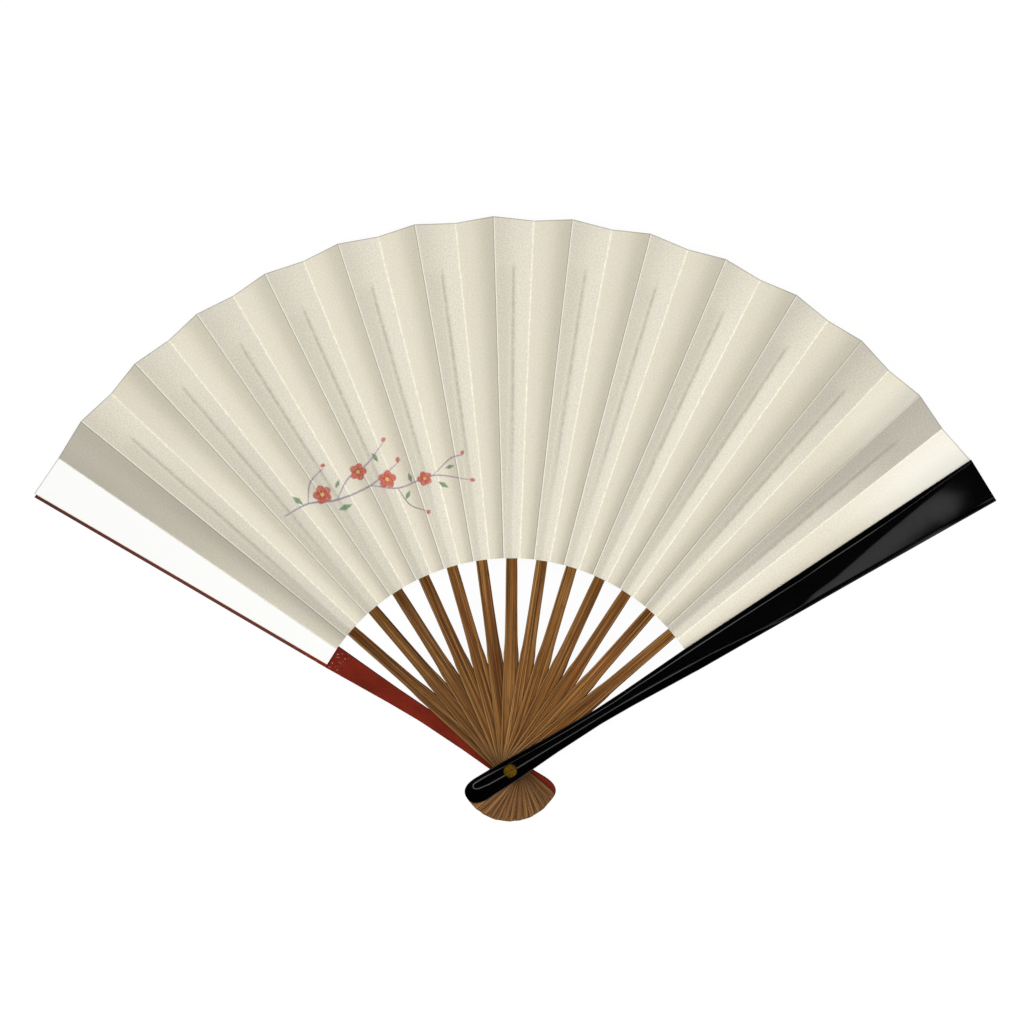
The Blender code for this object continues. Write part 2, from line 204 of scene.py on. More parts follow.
# %% Helpers for nodes
def shade(red, green, blue):
    """A screen colour of 0 to 255 as linear RGBA: a straight line near black and a power above."""
    parts = np.array([red, green, blue]) / 255
    linear = np.where(parts <= 0.04045, parts / 12.92, ((parts + 0.055) / 1.055) ** 2.4)
    return (*linear.tolist(), 1.0)


def new_finish(name, **settings):
    """A new material, its tree and its shader, with these settings on the shader's sockets."""
    made = bpy.data.materials.new(name)
    made.use_nodes = True
    shader = made.node_tree.nodes["Principled BSDF"]
    for socket, value in settings.items():
        shader.inputs[socket.replace("_", " ")].default_value = value
    return made, made.node_tree, shader


def add(tree, kind, inputs=(), **settings):
    """A new node. Each input is a socket to link or a value to set."""
    made = tree.nodes.new("ShaderNode" + kind)
    for key, value in settings.items():
        setattr(made, key, value)
    for socket, value in dict(inputs).items():
        if isinstance(value, bpy.types.NodeSocket):
            tree.links.new(value, made.inputs[socket])
        else:
            made.inputs[socket].default_value = value
    return made


def join(kind, inputs, **settings):
    """A new node in the tree of its first linked input."""
    linked = [value for value in inputs.values() if isinstance(value, bpy.types.NodeSocket)]
    return add(linked[0].id_data, kind, inputs, **settings)


def calc(operation, *values):
    """One operation on sockets or numbers."""
    return join("Math", dict(enumerate(values)), operation=operation).outputs[0]


plus, minus, times = (functools.partial(calc, name) for name in ("ADD", "SUBTRACT", "MULTIPLY"))


def ramp(value, start, end, low=0.0, high=1.0):
    """A soft step: low up to start, high past end."""
    places = {"Value": value, 1: start, 2: end, 3: low, 4: high}
    return join("MapRange", places, interpolation_type="SMOOTHSTEP").outputs[0]


def mix(amount, first, second, blend="MIX"):
    """The first colour at 0, and the second at 1."""
    return join("Mix", {0: amount, 6: first, 7: second}, data_type="RGBA", blend_type=blend).outputs[2]


def stained(colour, *stains):
    """A colour under stains. A stain is a pattern, the values where it starts and is full, how
    much shows before and after them, and its colour on the screen."""
    for pattern, start, end, low, high, stain in stains:
        colour = mix(ramp(pattern, start, end, low, high), colour, shade(*stain))
    return colour


def stretched(coords, along, across, detail=2.0, seed=0.0):
    """Noise with so many features a metre along and across the surface."""
    scaled = join("Mapping", {"Vector": coords, "Scale": (along, across, 1), "Location": (seed, 0, 0)})
    places = {"Vector": scaled.outputs[0], "Scale": 1.0, "Detail": detail}
    return join("TexNoise", places).outputs["Fac"]


def flat_place(tree):
    """The piece's own flat coordinates in metres."""
    return add(tree, "UVMap", uv_map="flat").outputs[0]


def read(tree, *names):
    """The named fields of a piece."""
    return [add(tree, "Attribute", attribute_name=name).outputs["Fac"] for name in names]


def dress(shader, colour, roughness, height):
    """Gives the shader a colour, a roughness, and a bump from a height in metres."""
    bump = join("Bump", {"Height": height, "Distance": 1.0, "Strength": 1.0}).outputs[0]
    for socket, value in (("Base Color", colour), ("Roughness", roughness), ("Normal", bump)):
        shader.id_data.links.new(value, shader.inputs[socket])


print("cream on the screen is", [round(part, 3) for part in shade(232, 226, 210)[:3]], "in the shader")

# %% [markdown]
# ## Bamboo
# The ribs are split bamboo, stained brown, so long fibres run from tail to tip: streaks of a few
# tenths of a millimetre and hair-thin dark ones. Wood rings would look wrong. Noise stretched a
# hundred times along the slat gives the fibres. The slats bend with the leaf, so it reads each
# slat's own flat coordinates and not its place in the room.

# %% The bamboo finish
def bamboo_finish():
    """Brown streaks, stained by patches, fibres and pores, then by the tail's wear and the pale right
    edge, then by painted shade as dark rims at both sides, and at last multiplied by the rib's own tone."""
    made, tree, shader = new_finish("bamboo", Specular_IOR_Level=0.2)
    flat = flat_place(tree)
    across, reach, tone = read(tree, "across", "reach", "tone")
    broad = stretched(flat, 7, 620, 3)
    fine = stretched(flat, 15, 1700, 3, 3.0)
    patch = stretched(flat, 25, 90, 2, 7.0)
    pores = stretched(flat, 120, 2600, 2, 11.0)
    tail = ramp(reach, 2 * MM, -12 * MM)
    colour = mix(ramp(broad, 0.34, 0.66), shade(100, 59, 19), shade(136, 91, 40))
    colour = stained(
        colour,
        (patch, 0.52, 0.75, 0, 0.4, (136, 76, 27)),
        (fine, 0.5, 0.38, 0, 0.75, (56, 28, 8)),
        (fine, 0.54, 0.66, 0, 0.7, (176, 130, 74)),
        (pores, 0.42, 0.3, 0, 0.6, (48, 24, 7)),
    )
    colour = mix(times(tail, 0.36), colour, shade(158, 116, 74))
    colour = mix(times(ramp(fine, 0.53, 0.45, 0, 0.4), tail), colour, shade(58, 32, 12))
    colour = stained(colour, (across, 0.84, 0.9, 0, 0.4, (186, 146, 92)))
    # Painted shade along both sides of the slat, weaker in the tail.
    edge_shade_strength = ramp(tail, 0.0, 1.0, 1.0, 0.6)
    left = times(ramp(across, -0.84, -0.97, 0, 0.85), edge_shade_strength)
    right = times(ramp(across, 0.93, 1.0, 0, 0.8), edge_shade_strength)
    colour = mix(calc("MAXIMUM", left, right), colour, shade(44, 22, 7))
    colour = mix(1.0, colour, tone, "MULTIPLY")
    grooves = times(ramp(fine, 0.3, 0.6), 0.04 * MM)
    dress(shader, colour, ramp(fine, 0.3, 0.7, 0.6, 0.42), plus(grooves, times(broad, 0.03 * MM)))
    return made


bamboo = bamboo_finish()
print("bamboo has", len(bamboo.node_tree.nodes), "nodes")

# %% [markdown]
# ## The ribs
# A rib is one slat. Its tail is rounded, it narrows towards the leaf, and just before the paper it
# twists to the slant of its pleat and thins down, to run on between the two sheets. On the frame
# the twist is a hinge between a stick and a slip; here one slat stands for both, with the twist
# built smoothly into its shape. Widths are tables against the distance from the pin, because a
# carver's slow curve has no simple formula.

# %% Sizes of a rib
def in_mm(table):
    """A table of millimetres in metres."""
    return {key * MM: value * MM for key, value in table.items()}


def along_table(x, table):
    """The table's value at x, on straight lines between its entries."""
    return np.interp(x, list(table), list(table.values()))


TAIL_RADIUS = 24.6 * MM
TAIL_ROUNDING = 9.0 * MM
TAIL_SQUARENESS = 0.8
RIB_TAIL_ROUNDING = 4.5 * MM
RIB_TAIL_SQUARENESS = 0.5
TAIL_STEPS = 14
TAIL_LAST_ANGLE = math.radians(86)
TAIL_VARIATION = 0.35 * MM
TAIL_SHUFFLE = 7
TAIL_KINDS = 5
LEAF_START = 101.5 * MM
TWIST_START_RADIUS = 80 * MM
RIB_WIDTHS = {
    **in_mm({-20.1: 11.6, 0: 10.0, 30: 8.6, 50: 7.4, 56: 7.2, 60: 6.45, 65: 6.05, 80: 5.68, 90: 5.64}),
    LEAF_START: 5.95 * MM,
    **in_mm({236: 1.8, 243: 0.5}),
}
RIB_THICKNESSES = in_mm({0: 1.2, 60: 1.15, 96: 0.8, 101: 0.24})
RIB_STEP = 2 * MM
RIB_COLUMNS = 17
RIB_EDGE_SOFTENING = 0.16 * MM
RIB_EDGE_POWER = 14
RIB_TONES = {3: 0.78, 5.5: 1.0}
RIB_GRAIN_SHIFT = (0.41, 0.053)


def tail_stations(width, rounding, squareness, steps):
    """Half a squarish ellipse, from near its point to its full width: a power of sine along it and
    the same power of cosine across."""
    bend = np.linspace(TAIL_LAST_ANGLE, 0, steps)
    length = rounding / math.sin(TAIL_LAST_ANGLE) ** squareness
    x = rounding - TAIL_RADIUS - length * np.sin(bend) ** squareness
    return x, width * np.cos(bend) ** squareness


def own_grain(reach, across, number, shift, start=0):
    """Flat coordinates, shifted for each number so that no two pieces have the same grain."""
    return np.stack([reach + shift[0] * number + start, across + shift[1] * number], -1)


def make_rib(rib):
    """Rows along the slat, columns across it. The two faces turn together past the twist: y and z
    are rotated by an angle that rises smoothly to the lean. Tails vary a little in length."""
    widest = max(RIB_WIDTHS.values())
    tail_x, tail_width = tail_stations(widest, RIB_TAIL_ROUNDING, RIB_TAIL_SQUARENESS, TAIL_STEPS)
    tip = max(RIB_WIDTHS)
    body_x = np.linspace(tail_x[-1], tip, round((tip - tail_x[-1]) / RIB_STEP))[1:]
    shorter = TAIL_VARIATION * (rib * TAIL_SHUFFLE % TAIL_KINDS) / (TAIL_KINDS - 1)
    tail_x = tail_x + shorter * np.linspace(1, 0, TAIL_STEPS)
    x = np.concatenate([tail_x, body_x])[:, None]
    width = np.concatenate([tail_width, along_table(body_x, RIB_WIDTHS)])[:, None]
    across = np.sin(np.linspace(-math.pi / 2, math.pi / 2, RIB_COLUMNS))[None, :]
    half = along_table(x, RIB_THICKNESSES) / 2
    soft = np.minimum(RIB_EDGE_SOFTENING, half / 2) * np.abs(across) ** RIB_EDGE_POWER
    twist = leans[rib] * smooth(x, TWIST_START_RADIUS, LEAF_START)
    reach, y = x + 0 * across, across * width / 2
    faces = []
    for side in (1, -1):
        z = side * (half - soft)
        turned = [y * np.cos(twist) - z * np.sin(twist), y * np.sin(twist) + z * np.cos(twist)]
        faces.append(np.stack([reach, *turned], -1))
    points = np.stack(faces) @ turn_matrix(angles[rib], 0).T + np.array([0, 0, heights[rib]])
    quads, _ = shell_faces(*y.shape)
    tone = np.full(y.shape, along_table(rib, RIB_TONES))
    fields = {"across": np.broadcast_to(across, y.shape), "reach": reach, "tone": tone}
    flat = own_grain(reach, y, rib, RIB_GRAIN_SHIFT)
    return make_piece(f"rib_slat_{rib:02}", points, quads, [bamboo], None, flat, fields)


# %% [markdown]
# ## The hole for the pin
# Slats and guards are drilled for the pin, and a guard is also sunk a little for the pin's head. A
# boolean with a turned cutter does it. The result becomes the piece's own mesh, because a mesh that
# is bound to a joint has to be final.

# %% Turned shapes and drilling
PIN_DIAMETER = 3.0 * MM
PIN_CLEARANCE = 0.15 * MM
PIN_SIDES = 64
MERGE_DISTANCE = 0.001 * MM
BORE = PIN_DIAMETER / 2 + PIN_CLEARANCE
OVERRUN = 1 * MM


def revolve(name, profile, finishes, sharp=40):
    """A closed shape from a profile of (radius, height), from the axis below to the axis above:
    each radius times a ring of unit points."""
    radius, height = np.array(profile).T
    angle = np.linspace(0, math.tau, PIN_SIDES, endpoint=False)
    ring = np.stack([np.cos(angle), np.sin(angle)], -1)
    across = radius[:, None, None] * ring[None]
    points = np.concatenate([across, np.broadcast_to(height[:, None, None], across.shape[:2] + (1,))], -1)
    ids = np.arange(len(radius) * PIN_SIDES).reshape(len(radius), PIN_SIDES)
    after = np.roll(ids, -1, axis=1)
    quads = np.stack([ids[:-1], after[:-1], after[1:], ids[1:]], -1).reshape(-1, 4)
    piece = make_piece(name, points, quads, finishes, sharp=sharp)
    shape = bmesh.new()
    shape.from_mesh(piece.data)
    bmesh.ops.remove_doubles(shape, verts=shape.verts[:], dist=MERGE_DISTANCE)
    shape.to_mesh(piece.data)
    shape.free()
    return piece


def drill(pieces, profile):
    """Cuts a turned hole out of each piece and keeps the result as its mesh."""
    cutter = revolve("drill", profile, [])
    for piece in pieces:
        cut = piece.modifiers.new("drill", "BOOLEAN")
        cut.operation = "DIFFERENCE"
        cut.object = cutter
        view = bpy.context.evaluated_depsgraph_get()
        mesh = bpy.data.meshes.new_from_object(piece.evaluated_get(view))
        piece.modifiers.clear()
        piece.data = mesh
    bpy.data.objects.remove(cutter)


rib_slats = [make_rib(rib) for rib in range(1, LAST)]
drill(rib_slats, [(0, -OVERRUN), (BORE, -OVERRUN), (BORE, STACK_TOP + OVERRUN), (0, STACK_TOP + OVERRUN)])
for rib, slat in enumerate(rib_slats, 1):
    ray = np.array([math.cos(angles[rib]), math.sin(angles[rib]), 0])
    lift = np.array([0, 0, heights[rib]])
    start, end = ray * TWIST_START_RADIUS + lift, ray * LEAF_START + lift
    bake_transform(slat)
    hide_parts(f"stick_{rib:02}", f"slip_{rib:02}")
print(len(rib_slats), "ribs of", len(rib_slats[0].data.polygons), "faces")

# %% [markdown]
# ## The creases of the leaf
# Panels on the ribs lean to the right and the free panels between them lean back, so the left edge
# of a rib panel is a peak and its right edge a valley. All creases are straight lines, and at both
# ends of the leaf the zigzag has to close from one rib to the next: one rib pitch round and one
# stack pitch up. That fixes the width of the pleats.

# %% Crease lines and normals
PEAK_RADIUS = 265.5 * MM
VALLEY_RADIUS = 263.8 * MM
GUARD_MARGIN = 1.6 * MM
FREE_EDGE_LEAD = 0.7 * MM
GUARD_TAIL_WIDTH = 11.8 * MM
GUARD_WIDTHS = {
    **in_mm({0: 11.3, 24: 8.7, 49: 7.4, 66: 8.4}),
    LEAF_START: 12.1 * MM,
    183.5 * MM: 17.4 * MM,
    PEAK_RADIUS: 23.2 * MM,
}
LEAN = leans[1]
ENDS = np.array([0.0, 1.0])


def closing_width(radius):
    """Pleat width at which two equal panels span one rib pitch and one stack pitch: half the step
    between two ribs, divided by the cosine of the angle between the step and a panel."""
    across = radius * RIB_PITCH
    step = math.hypot(across, STACK_PITCH)
    return step / (2 * math.cos(LEAN + math.atan2(STACK_PITCH, across)))


def pleat_width(radius):
    """The closing widths at the leaf's two ends, joined by a straight line."""
    inner, outer = (closing_width(end) for end in (LEAF_START, PEAK_RADIUS))
    return inner + (radius - LEAF_START) / (PEAK_RADIUS - LEAF_START) * (outer - inner)


def crease_reach(radius):
    """How far out along the rib a crease ends, for an end at this radius in the open fan."""
    return math.sqrt(radius**2 - (pleat_width(radius) / 2 * math.cos(LEAN)) ** 2)


def panel_edge(rib, side, share, free=False):
    """The left (+1) or right (-1) edge of a rib panel, at shares of its length. A free edge lies on
    a guard, a margin inside the guard's edge; the others are creases."""
    end = crease_reach(PEAK_RADIUS if side > 0 and not free else VALLEY_RADIUS) + free * FREE_EDGE_LEAD
    reach = LEAF_START + share * (end - LEAF_START)
    half = along_table(reach, GUARD_WIDTHS) / 2 - GUARD_MARGIN if free else pleat_width(reach) / 2
    return in_row(np.stack([reach, side * half, 0 * reach], -1), rib)


def free_normal(fold, share):
    """The normal of a free panel, which lies between rib panels fold - 1 and fold: the cross
    product of its valley and the way across it."""
    ends = panel_edge(fold - 1, -1, ENDS)
    left = panel_edge(fold - 1, -1, share) - panel_edge(fold, 1, share)
    return unit(np.cross(unit(ends[1] - ends[0]), left))


def mitre(first, second):
    """Where a face one unit thick turns at a fold: on the middle of the two normals, long enough
    to lie on both faces."""
    middle = unit(first + second)
    return middle / (middle * first).sum(-1, keepdims=True)


print("pleats are", round(closing_width(LEAF_START) / MM, 2), "mm wide inside and",
      round(closing_width(PEAK_RADIUS) / MM, 2), "mm outside")

# %% [markdown]
# ## A painted spray
# Below the middle of its left half the leaf carries a small painting, here a plain spray of plum
# blossom of like size and colours: mauve-grey stems, five-petalled red flowers and small green
# leaves. It crosses several pleats, so it can't be one decal. Instead each point of the paper asks
# how far it is from the stems, petals and leaves as seen from above, and keeps the paint as a
# colour.

# %% Distances to strokes
STROKE_SOFTNESS = 0.3 * MM
STROKE_SAMPLES = 90
STROKE_END_WIDTH = 0.55
SLIMMEST_WAIST = 0.02


def stroke(plan, points, width):
    """How much of a brush stroke covers each point: a smooth curve through the given points, cubic
    between each two, that swells in the middle and thins at its ends."""
    knots = np.array(points) * MM
    times_on = np.linspace(0, len(knots) - 1, STROKE_SAMPLES)
    left = np.clip(times_on.astype(int), 0, len(knots) - 2)
    t = (times_on - left)[:, None]
    slopes = np.gradient(knots, axis=0)
    a, b, da, db = knots[left], knots[left + 1], slopes[left], slopes[left + 1]
    line = (2 * t**3 - 3 * t**2 + 1) * a + (t**3 - 2 * t**2 + t) * da
    line += (3 * t**2 - 2 * t**3) * b + (t**3 - t**2) * db
    gap = np.linalg.norm(plan[:, None] - line[None], axis=-1)
    swell = np.sin(math.pi * gap.argmin(1) / (STROKE_SAMPLES - 1))
    half = width / 2 * (STROKE_END_WIDTH + (1 - STROKE_END_WIDTH) * swell)
    return 1 - smooth(gap.min(1), half - STROKE_SOFTNESS / 2, half + STROKE_SOFTNESS / 2)


def blot(plan, centre, length, width, angle, taper=0.0):
    """An ellipse, or with taper a leaf that is pointed at both ends, as a cover of 0 to 1."""
    away = plan - np.array(centre) * MM
    c, s = math.cos(angle), math.sin(angle)
    u = (away[:, 0] * c + away[:, 1] * s) / (length * MM / 2)
    v = (away[:, 1] * c - away[:, 0] * s) / (width * MM / 2)
    waist = np.clip(1 - taper * np.minimum(np.abs(u), 1), SLIMMEST_WAIST, 1)
    edge = np.sqrt(u * u + (v / waist) ** 2)
    soft = STROKE_SOFTNESS / (width * MM)
    return 1 - smooth(edge, 1 - soft, 1 + soft)


# %% The spray's own layout, in millimetres
STEM_COLOUR = shade(118, 98, 146)[:3]
PETAL_COLOUR = shade(196, 66, 44)[:3]
DEEP_COLOUR = shade(150, 40, 34)[:3]
HEART_COLOUR = shade(226, 190, 92)[:3]
LEAF_COLOUR = shade(84, 128, 84)[:3]
STEMS = [
    ([(-109, 121), (-98, 127), (-84, 129), (-68, 136), (-55, 147)], 1.0 * MM),
    ([(-84, 129), (-79, 139), (-70, 146), (-62, 157)], 0.75 * MM),
    ([(-68, 136), (-54, 135), (-38, 141), (-20, 139)], 0.8 * MM),
    ([(-98, 127), (-97, 137), (-91, 144)], 0.65 * MM),
    ([(-38, 141), (-30, 149), (-24, 151)], 0.6 * MM),
    ([(-55, 135), (-49, 127), (-41, 124)], 0.6 * MM),
]
BLOSSOMS = [(-91, 131.5, 4.6), (-74, 142.5, 4.2), (-60, 139, 4.4), (-42, 139.5, 3.6)]
BUDS = [
    (-62, 158, 2.4), (-55, 148.5, 2.6), (-24, 152, 2.2),
    (-19, 139, 2.4), (-91, 145.5, 2.3), (-40, 123.5, 2.3),
]
LEAVES = [
    (-103, 128.5, 6.5, 2.5), (-80, 125.5, 7.0, 0.4), (-66, 149.5, 5.5, 2.2), (-49, 139.8, 5.0, 1.9),
    (-33, 136.6, 5.6, -0.5), (-84, 136.5, 4.6, 1.2), (-50, 131.5, 5.0, -2.0), (-30, 145.2, 4.6, 0.3),
]
LEAF_SLIMNESS = 0.42
LEAF_TAPER = 0.75
BUD_SLIMNESS = 0.8
HEART_SHARE = 0.42
PETALS = 5
PETAL_PARTS = [(0.52, 0.98, 0.86, PETAL_COLOUR, 0.92), (0.26, 0.5, 0.16, DEEP_COLOUR, 0.7)]
SPRAY_LOW = np.array([-114, 116]) * MM
SPRAY_HIGH = np.array([-13, 162]) * MM


def spray(points):
    """Paint over each point as RGBA, laid on in layers: stems, leaves, petals, hearts and buds. A
    petal's parts are shares of the blossom's size: how far out, how long and how wide."""
    plan = points.reshape(-1, 3)[:, :2]
    paint = np.zeros((len(plan), 4))
    paint[:, :3] = STEM_COLOUR

    def lay(cover, colour, strength):
        cover = cover * strength
        share = cover / np.maximum(cover + paint[:, 3] * (1 - cover), 1e-9)
        paint[:, :3] += share[:, None] * (np.array(colour) - paint[:, :3])
        paint[:, 3] += cover * (1 - paint[:, 3])

    for line, width in STEMS:
        lay(stroke(plan, line, width), STEM_COLOUR, 0.85)
    for x, y, length, angle in LEAVES:
        lay(blot(plan, (x, y), length, length * LEAF_SLIMNESS, angle, LEAF_TAPER), LEAF_COLOUR, 0.9)
    for x, y, size in BLOSSOMS:
        for petal in range(PETALS):
            way = math.tau * petal / PETALS + x
            for out, length, width, colour, strength in PETAL_PARTS:
                centre = (x + size * out * math.cos(way), y + size * out * math.sin(way))
                lay(blot(plan, centre, size * length, size * width, way), colour, strength)
        lay(blot(plan, (x, y), size * HEART_SHARE, size * HEART_SHARE, 0), HEART_COLOUR, 0.95)
    for x, y, size in BUDS:
        lay(blot(plan, (x, y), size, size * BUD_SLIMNESS, x), PETAL_COLOUR, 0.9)
    return paint.reshape(*points.shape[:-1], 4)


print(len(STEMS), "stems,", len(BLOSSOMS), "blossoms and", len(LEAVES), "leaves")

# %% [markdown]
# ## Paper
# The leaf is thick handmade paper, cream, with fine mica; its sparkle between grey and white is
# painted in as specks, a painted glint. The peaks are worn to thin bright lines, which are also
# painted highlight, and beside the peaks the free panels carry a painted shade. Ragged pale lines
# run along the valleys. A rib's thin end close under the paper shows through as a soft grey line,
# partly painted shade. Each point knows its distance to the peak, the valley, the outer edge and
# the rib, so all of this follows the folds. The distances to the folds also give each panel its
# slight hollow.

# %% The paper finish
FIBRE_HEIGHT = 0.04 * MM
VALLEY_WANDER = 1.5 * MM
CREST_REACH = 0.35 * MM


def paper_finish(name, ground, fleck, valley_line, peak_line, crest, curl):
    """fleck is how strongly the fibres and the mica's painted glints show. A line is a colour and how
    much of it shows. crest is how high the rounding of a peak stands and curl how steeply a panel's
    sides turn up. The hollow is the distance to the nearer fold, with its ridge made round: half the
    sum of both distances, less the root of the squares of half their difference and of the softness."""
    made, tree, shader = new_finish(name, Specular_IOR_Level=0.25)
    flat = flat_place(tree)
    peak, valley, edge = read(tree, "to_peak", "to_valley", "to_edge")
    shade_over_rib, softness, tone = read(tree, "shade_over_rib", "softness", "tone")
    paint = add(tree, "Attribute", attribute_name="paint")
    cloud = stretched(flat, 45, 45, 3)
    grain = stretched(flat, 900, 900, 3, 5.0)
    speck = stretched(flat, 2100, 2100, 1, 9.0)
    pulp = stretched(flat, 420, 420, 3, 2.0)
    dot = stretched(flat, 210, 210, 1, 15.0)
    # The light specks are the mica's painted glint; the clouds, flecks and dots are the paper's own.
    colour = stained(
        ground,
        (cloud, 0.35, 0.7, 0, 0.5 * fleck, (226, 221, 207)),
        (grain, 0.34, 0.66, 0, 0.4 * fleck, (193, 188, 173)),
        (speck, 0.42, 0.72, 0, 0.9 * fleck, (252, 249, 239)),
        (dot, 0.82, 0.84, 0, 0.4 * fleck, (120, 112, 96)),
    )
    # The rib under the paper shows through as a grey line, partly painted shade along it.
    shadow = times(shade_over_rib, times(ramp(pulp, 0.35, 0.6, 0.55, 1.0), 0.6))
    colour = mix(shadow, colour, shade(168, 162, 148))
    ragged = plus(valley, times(minus(pulp, 0.5), VALLEY_WANDER))
    broken = ramp(grain, 0.4, 0.52, 0.2 * valley_line[1], valley_line[1])
    colour = mix(times(ramp(ragged, 0.58 * MM, 0.3 * MM), broken), colour, valley_line[0])
    # The peak line: on the rib panels a bright line, worn and partly painted highlight; on the free panels a
    # painted shade beside the peak.
    colour = mix(ramp(peak, 0.54 * MM, 0.32 * MM, 0, peak_line[1]), colour, peak_line[0])
    # Painted light and shade: the tone darkens or lightens the paper, and past 1 a painted sheen whitens it.
    # Then a grey line runs along the outer edge.
    colour = stained(
        mix(1.0, colour, tone, "MULTIPLY"),
        (tone, 1.04, 1.3, 0, 0.6, (254, 254, 248)),
        (edge, 0.62 * MM, 0.3 * MM, 0, 0.55, (136, 138, 132)),
    )
    cover = times(paint.outputs["Alpha"], ramp(grain, 0.3, 0.7, 0.75, 1.0))
    colour = mix(cover, colour, paint.outputs["Color"])
    middle = times(plus(peak, valley), 0.5)
    off = times(minus(peak, valley), 0.5)
    root = calc("SQRT", plus(times(off, off), times(softness, softness)))
    hollow = times(minus(middle, root), -curl)
    fibres = plus(times(grain, FIBRE_HEIGHT), times(pulp, FIBRE_HEIGHT))
    fall = calc("EXPONENT", times(peak, -1 / CREST_REACH))
    height = plus(plus(hollow, times(fibres, fleck)), times(fall, -crest))
    dress(shader, colour, ramp(speck, 0.5, 0.68, 0.7, 0.45), height)
    return made


PALE_LINE = (shade(254, 249, 230), 0.95)
WORN_PEAK_HIGHLIGHT = (shade(255, 251, 236), 1.0)
PEAK_SHADE = (shade(140, 134, 118), 0.5)
GUARD_LINES = ((shade(236, 228, 206), 0.6), (shade(236, 226, 200), 0.7))
PEAK_CREST = 0.17 * MM
RIB_GROUND, FREE_GROUND = shade(230, 223, 203), shade(230, 222, 200)
# One paper in two lit copies: the rib panels get more painted mica glint and a painted highlight on their
# peaks, the free panels fewer glints and painted shade beside their peaks.
rib_paper = paper_finish("paper_over_ribs", RIB_GROUND, 0.8, PALE_LINE, WORN_PEAK_HIGHLIGHT, PEAK_CREST, 0.25)
free_paper = paper_finish("paper_between_ribs", FREE_GROUND, 0.5, PALE_LINE, PEAK_SHADE, 0, 0.43)
# The end panels' near-white paper is partly a plain lining and partly painted sheen, as they lie flat
# towards the light; it has no flecks or glints.
end_paper = paper_finish("paper_on_guards", shade(255, 255, 253), 0, *GUARD_LINES, 0, 0)
print("paper has", len(rib_paper.node_tree.nodes), "nodes")

# %% [markdown]
# ## The rib panels
# The leaf is two sheets glued together, with the ribs' thin ends between them. So a rib panel is
# two closed sheets that touch at the sides and part round the rib. Both are mitred at the creases,
# where the free panels carry on from exactly the same points, so that the open leaf has no gaps.
# The two end panels are glued flat to the guards. Old paper warps, so panels near the ends of the
# leaf take the light unevenly; a table of tones paints that light and shade into the paper's
# colour, without bent paper.

# %% Sheets between two creases
SHEET = 0.13 * MM
GLUE = 0.01 * MM
POCKET_ROOM = 0.02 * MM
POCKET_RAMP = 0.7 * MM
SAG = 0.12 * MM
PLAIN_STEP = 4 * MM
SPRAY_STEP = 0.42 * MM
SIDE_COLUMNS = {False: 6, True: 15}
SLIP_COLUMNS = {False: 3, True: 6}
RIB_SHADE_REACH = (112 * MM, 175 * MM)
RIB_SHADE_HALF_WIDTH = 0.85 * MM
FAR_FROM_RIBS = 1.0
SOFT_FOLD = 0.33
SHARP_FOLD = 0.055
SHADING_STEP = (0.42, 0.58)
PANEL_GRAIN_SHIFT = (0.31, 0.043)
FREE_GRAIN_START = 9
RIB_TIP = max(RIB_WIDTHS)
TIP_ROWS = np.array([-0.6, 0, 0.35, 0.7, 1.05, 1.4, 1.9]) * MM
TIP_FADE = (RIB_TIP - 4 * MM, RIB_TIP + 3 * MM)
SHADING_REACHES = (130 * MM, 190 * MM, 240 * MM)
EVEN_SHADING = ((1.0, 1.0, 1.0), (1.0, 1.0, 1.0))
# Painted shade and light: tones at the valley and at the peak, each at the three reaches.
RIB_PANEL_SHADING = {
    1: ((0.88, 0.89, 0.97), (0.8, 0.95, 0.98)),
    2: ((0.86, 0.89, 0.95), (0.86, 0.97, 1.0)),
    3: ((0.88, 0.97, 0.93), (0.91, 0.95, 0.99)),
    4: ((0.93, 0.98, 0.96), (0.91, 1.0, 1.0)),
    10: ((1.0, 1.03, 1.02), (0.92, 0.92, 0.96)),
    11: ((1.0, 1.03, 1.0), (0.9, 0.84, 0.91)),
    12: ((0.99, 0.98, 0.86), (0.85, 0.82, 0.82)),
    13: ((0.96, 0.92, 0.68), (0.81, 0.73, 0.72)),
}
FREE_PANEL_SHADING = {
    1: ((0.88, 0.7, 0.6), (0.7, 0.65, 0.71)),
    2: ((1.03, 1.05, 0.96), (1.1, 1.04, 0.94)),
    **dict.fromkeys(range(3, 7), ((1.03, 1.03, 1.03), (1.06, 1.05, 1.04))),
    13: ((1.0, 1.0, 1.06), (1.0, 1.02, 1.18)),
    14: ((1.1, 1.08, 1.18), (1.02, 1.04, 1.3)),
}
LEAF_LENGTH = PEAK_RADIUS - LEAF_START
SPRAY_CORNERS = ([SPRAY_HIGH[0], SPRAY_LOW[1]], [SPRAY_LOW[0], SPRAY_HIGH[1]])
SPRAY_SHARES = [(np.linalg.norm(corner) - LEAF_START) / LEAF_LENGTH for corner in SPRAY_CORNERS]


def panel_rows(valley_rib, peak_rib, lies_right=False, lies_left=False):
    """Whether a panel's box, seen from above, meets the spray's; its rows as shares of its length,
    closer together in the spray; its two edges and its width. An edge that lies on a guard is free."""

    def edges(share):
        return panel_edge(valley_rib, -1, share, lies_right), panel_edge(peak_rib, 1, share, lies_left)

    plan = np.concatenate(edges(ENDS))[:, :2]
    painted = bool((plan.min(0) < SPRAY_HIGH).all() and (plan.max(0) > SPRAY_LOW).all())
    tip_rows = (RIB_TIP - LEAF_START + TIP_ROWS) / LEAF_LENGTH
    along = np.union1d(np.linspace(0, 1, round(LEAF_LENGTH / PLAIN_STEP)), tip_rows)
    if painted:
        low, high = SPRAY_SHARES
        close = np.linspace(low, high, round((high - low) * LEAF_LENGTH / SPRAY_STEP))
        along = np.concatenate([along[along < low], close, along[along > high]])
    valley, peak = edges(along)
    return painted, along, valley, peak, np.linalg.norm(peak - valley, axis=-1)[:, None]


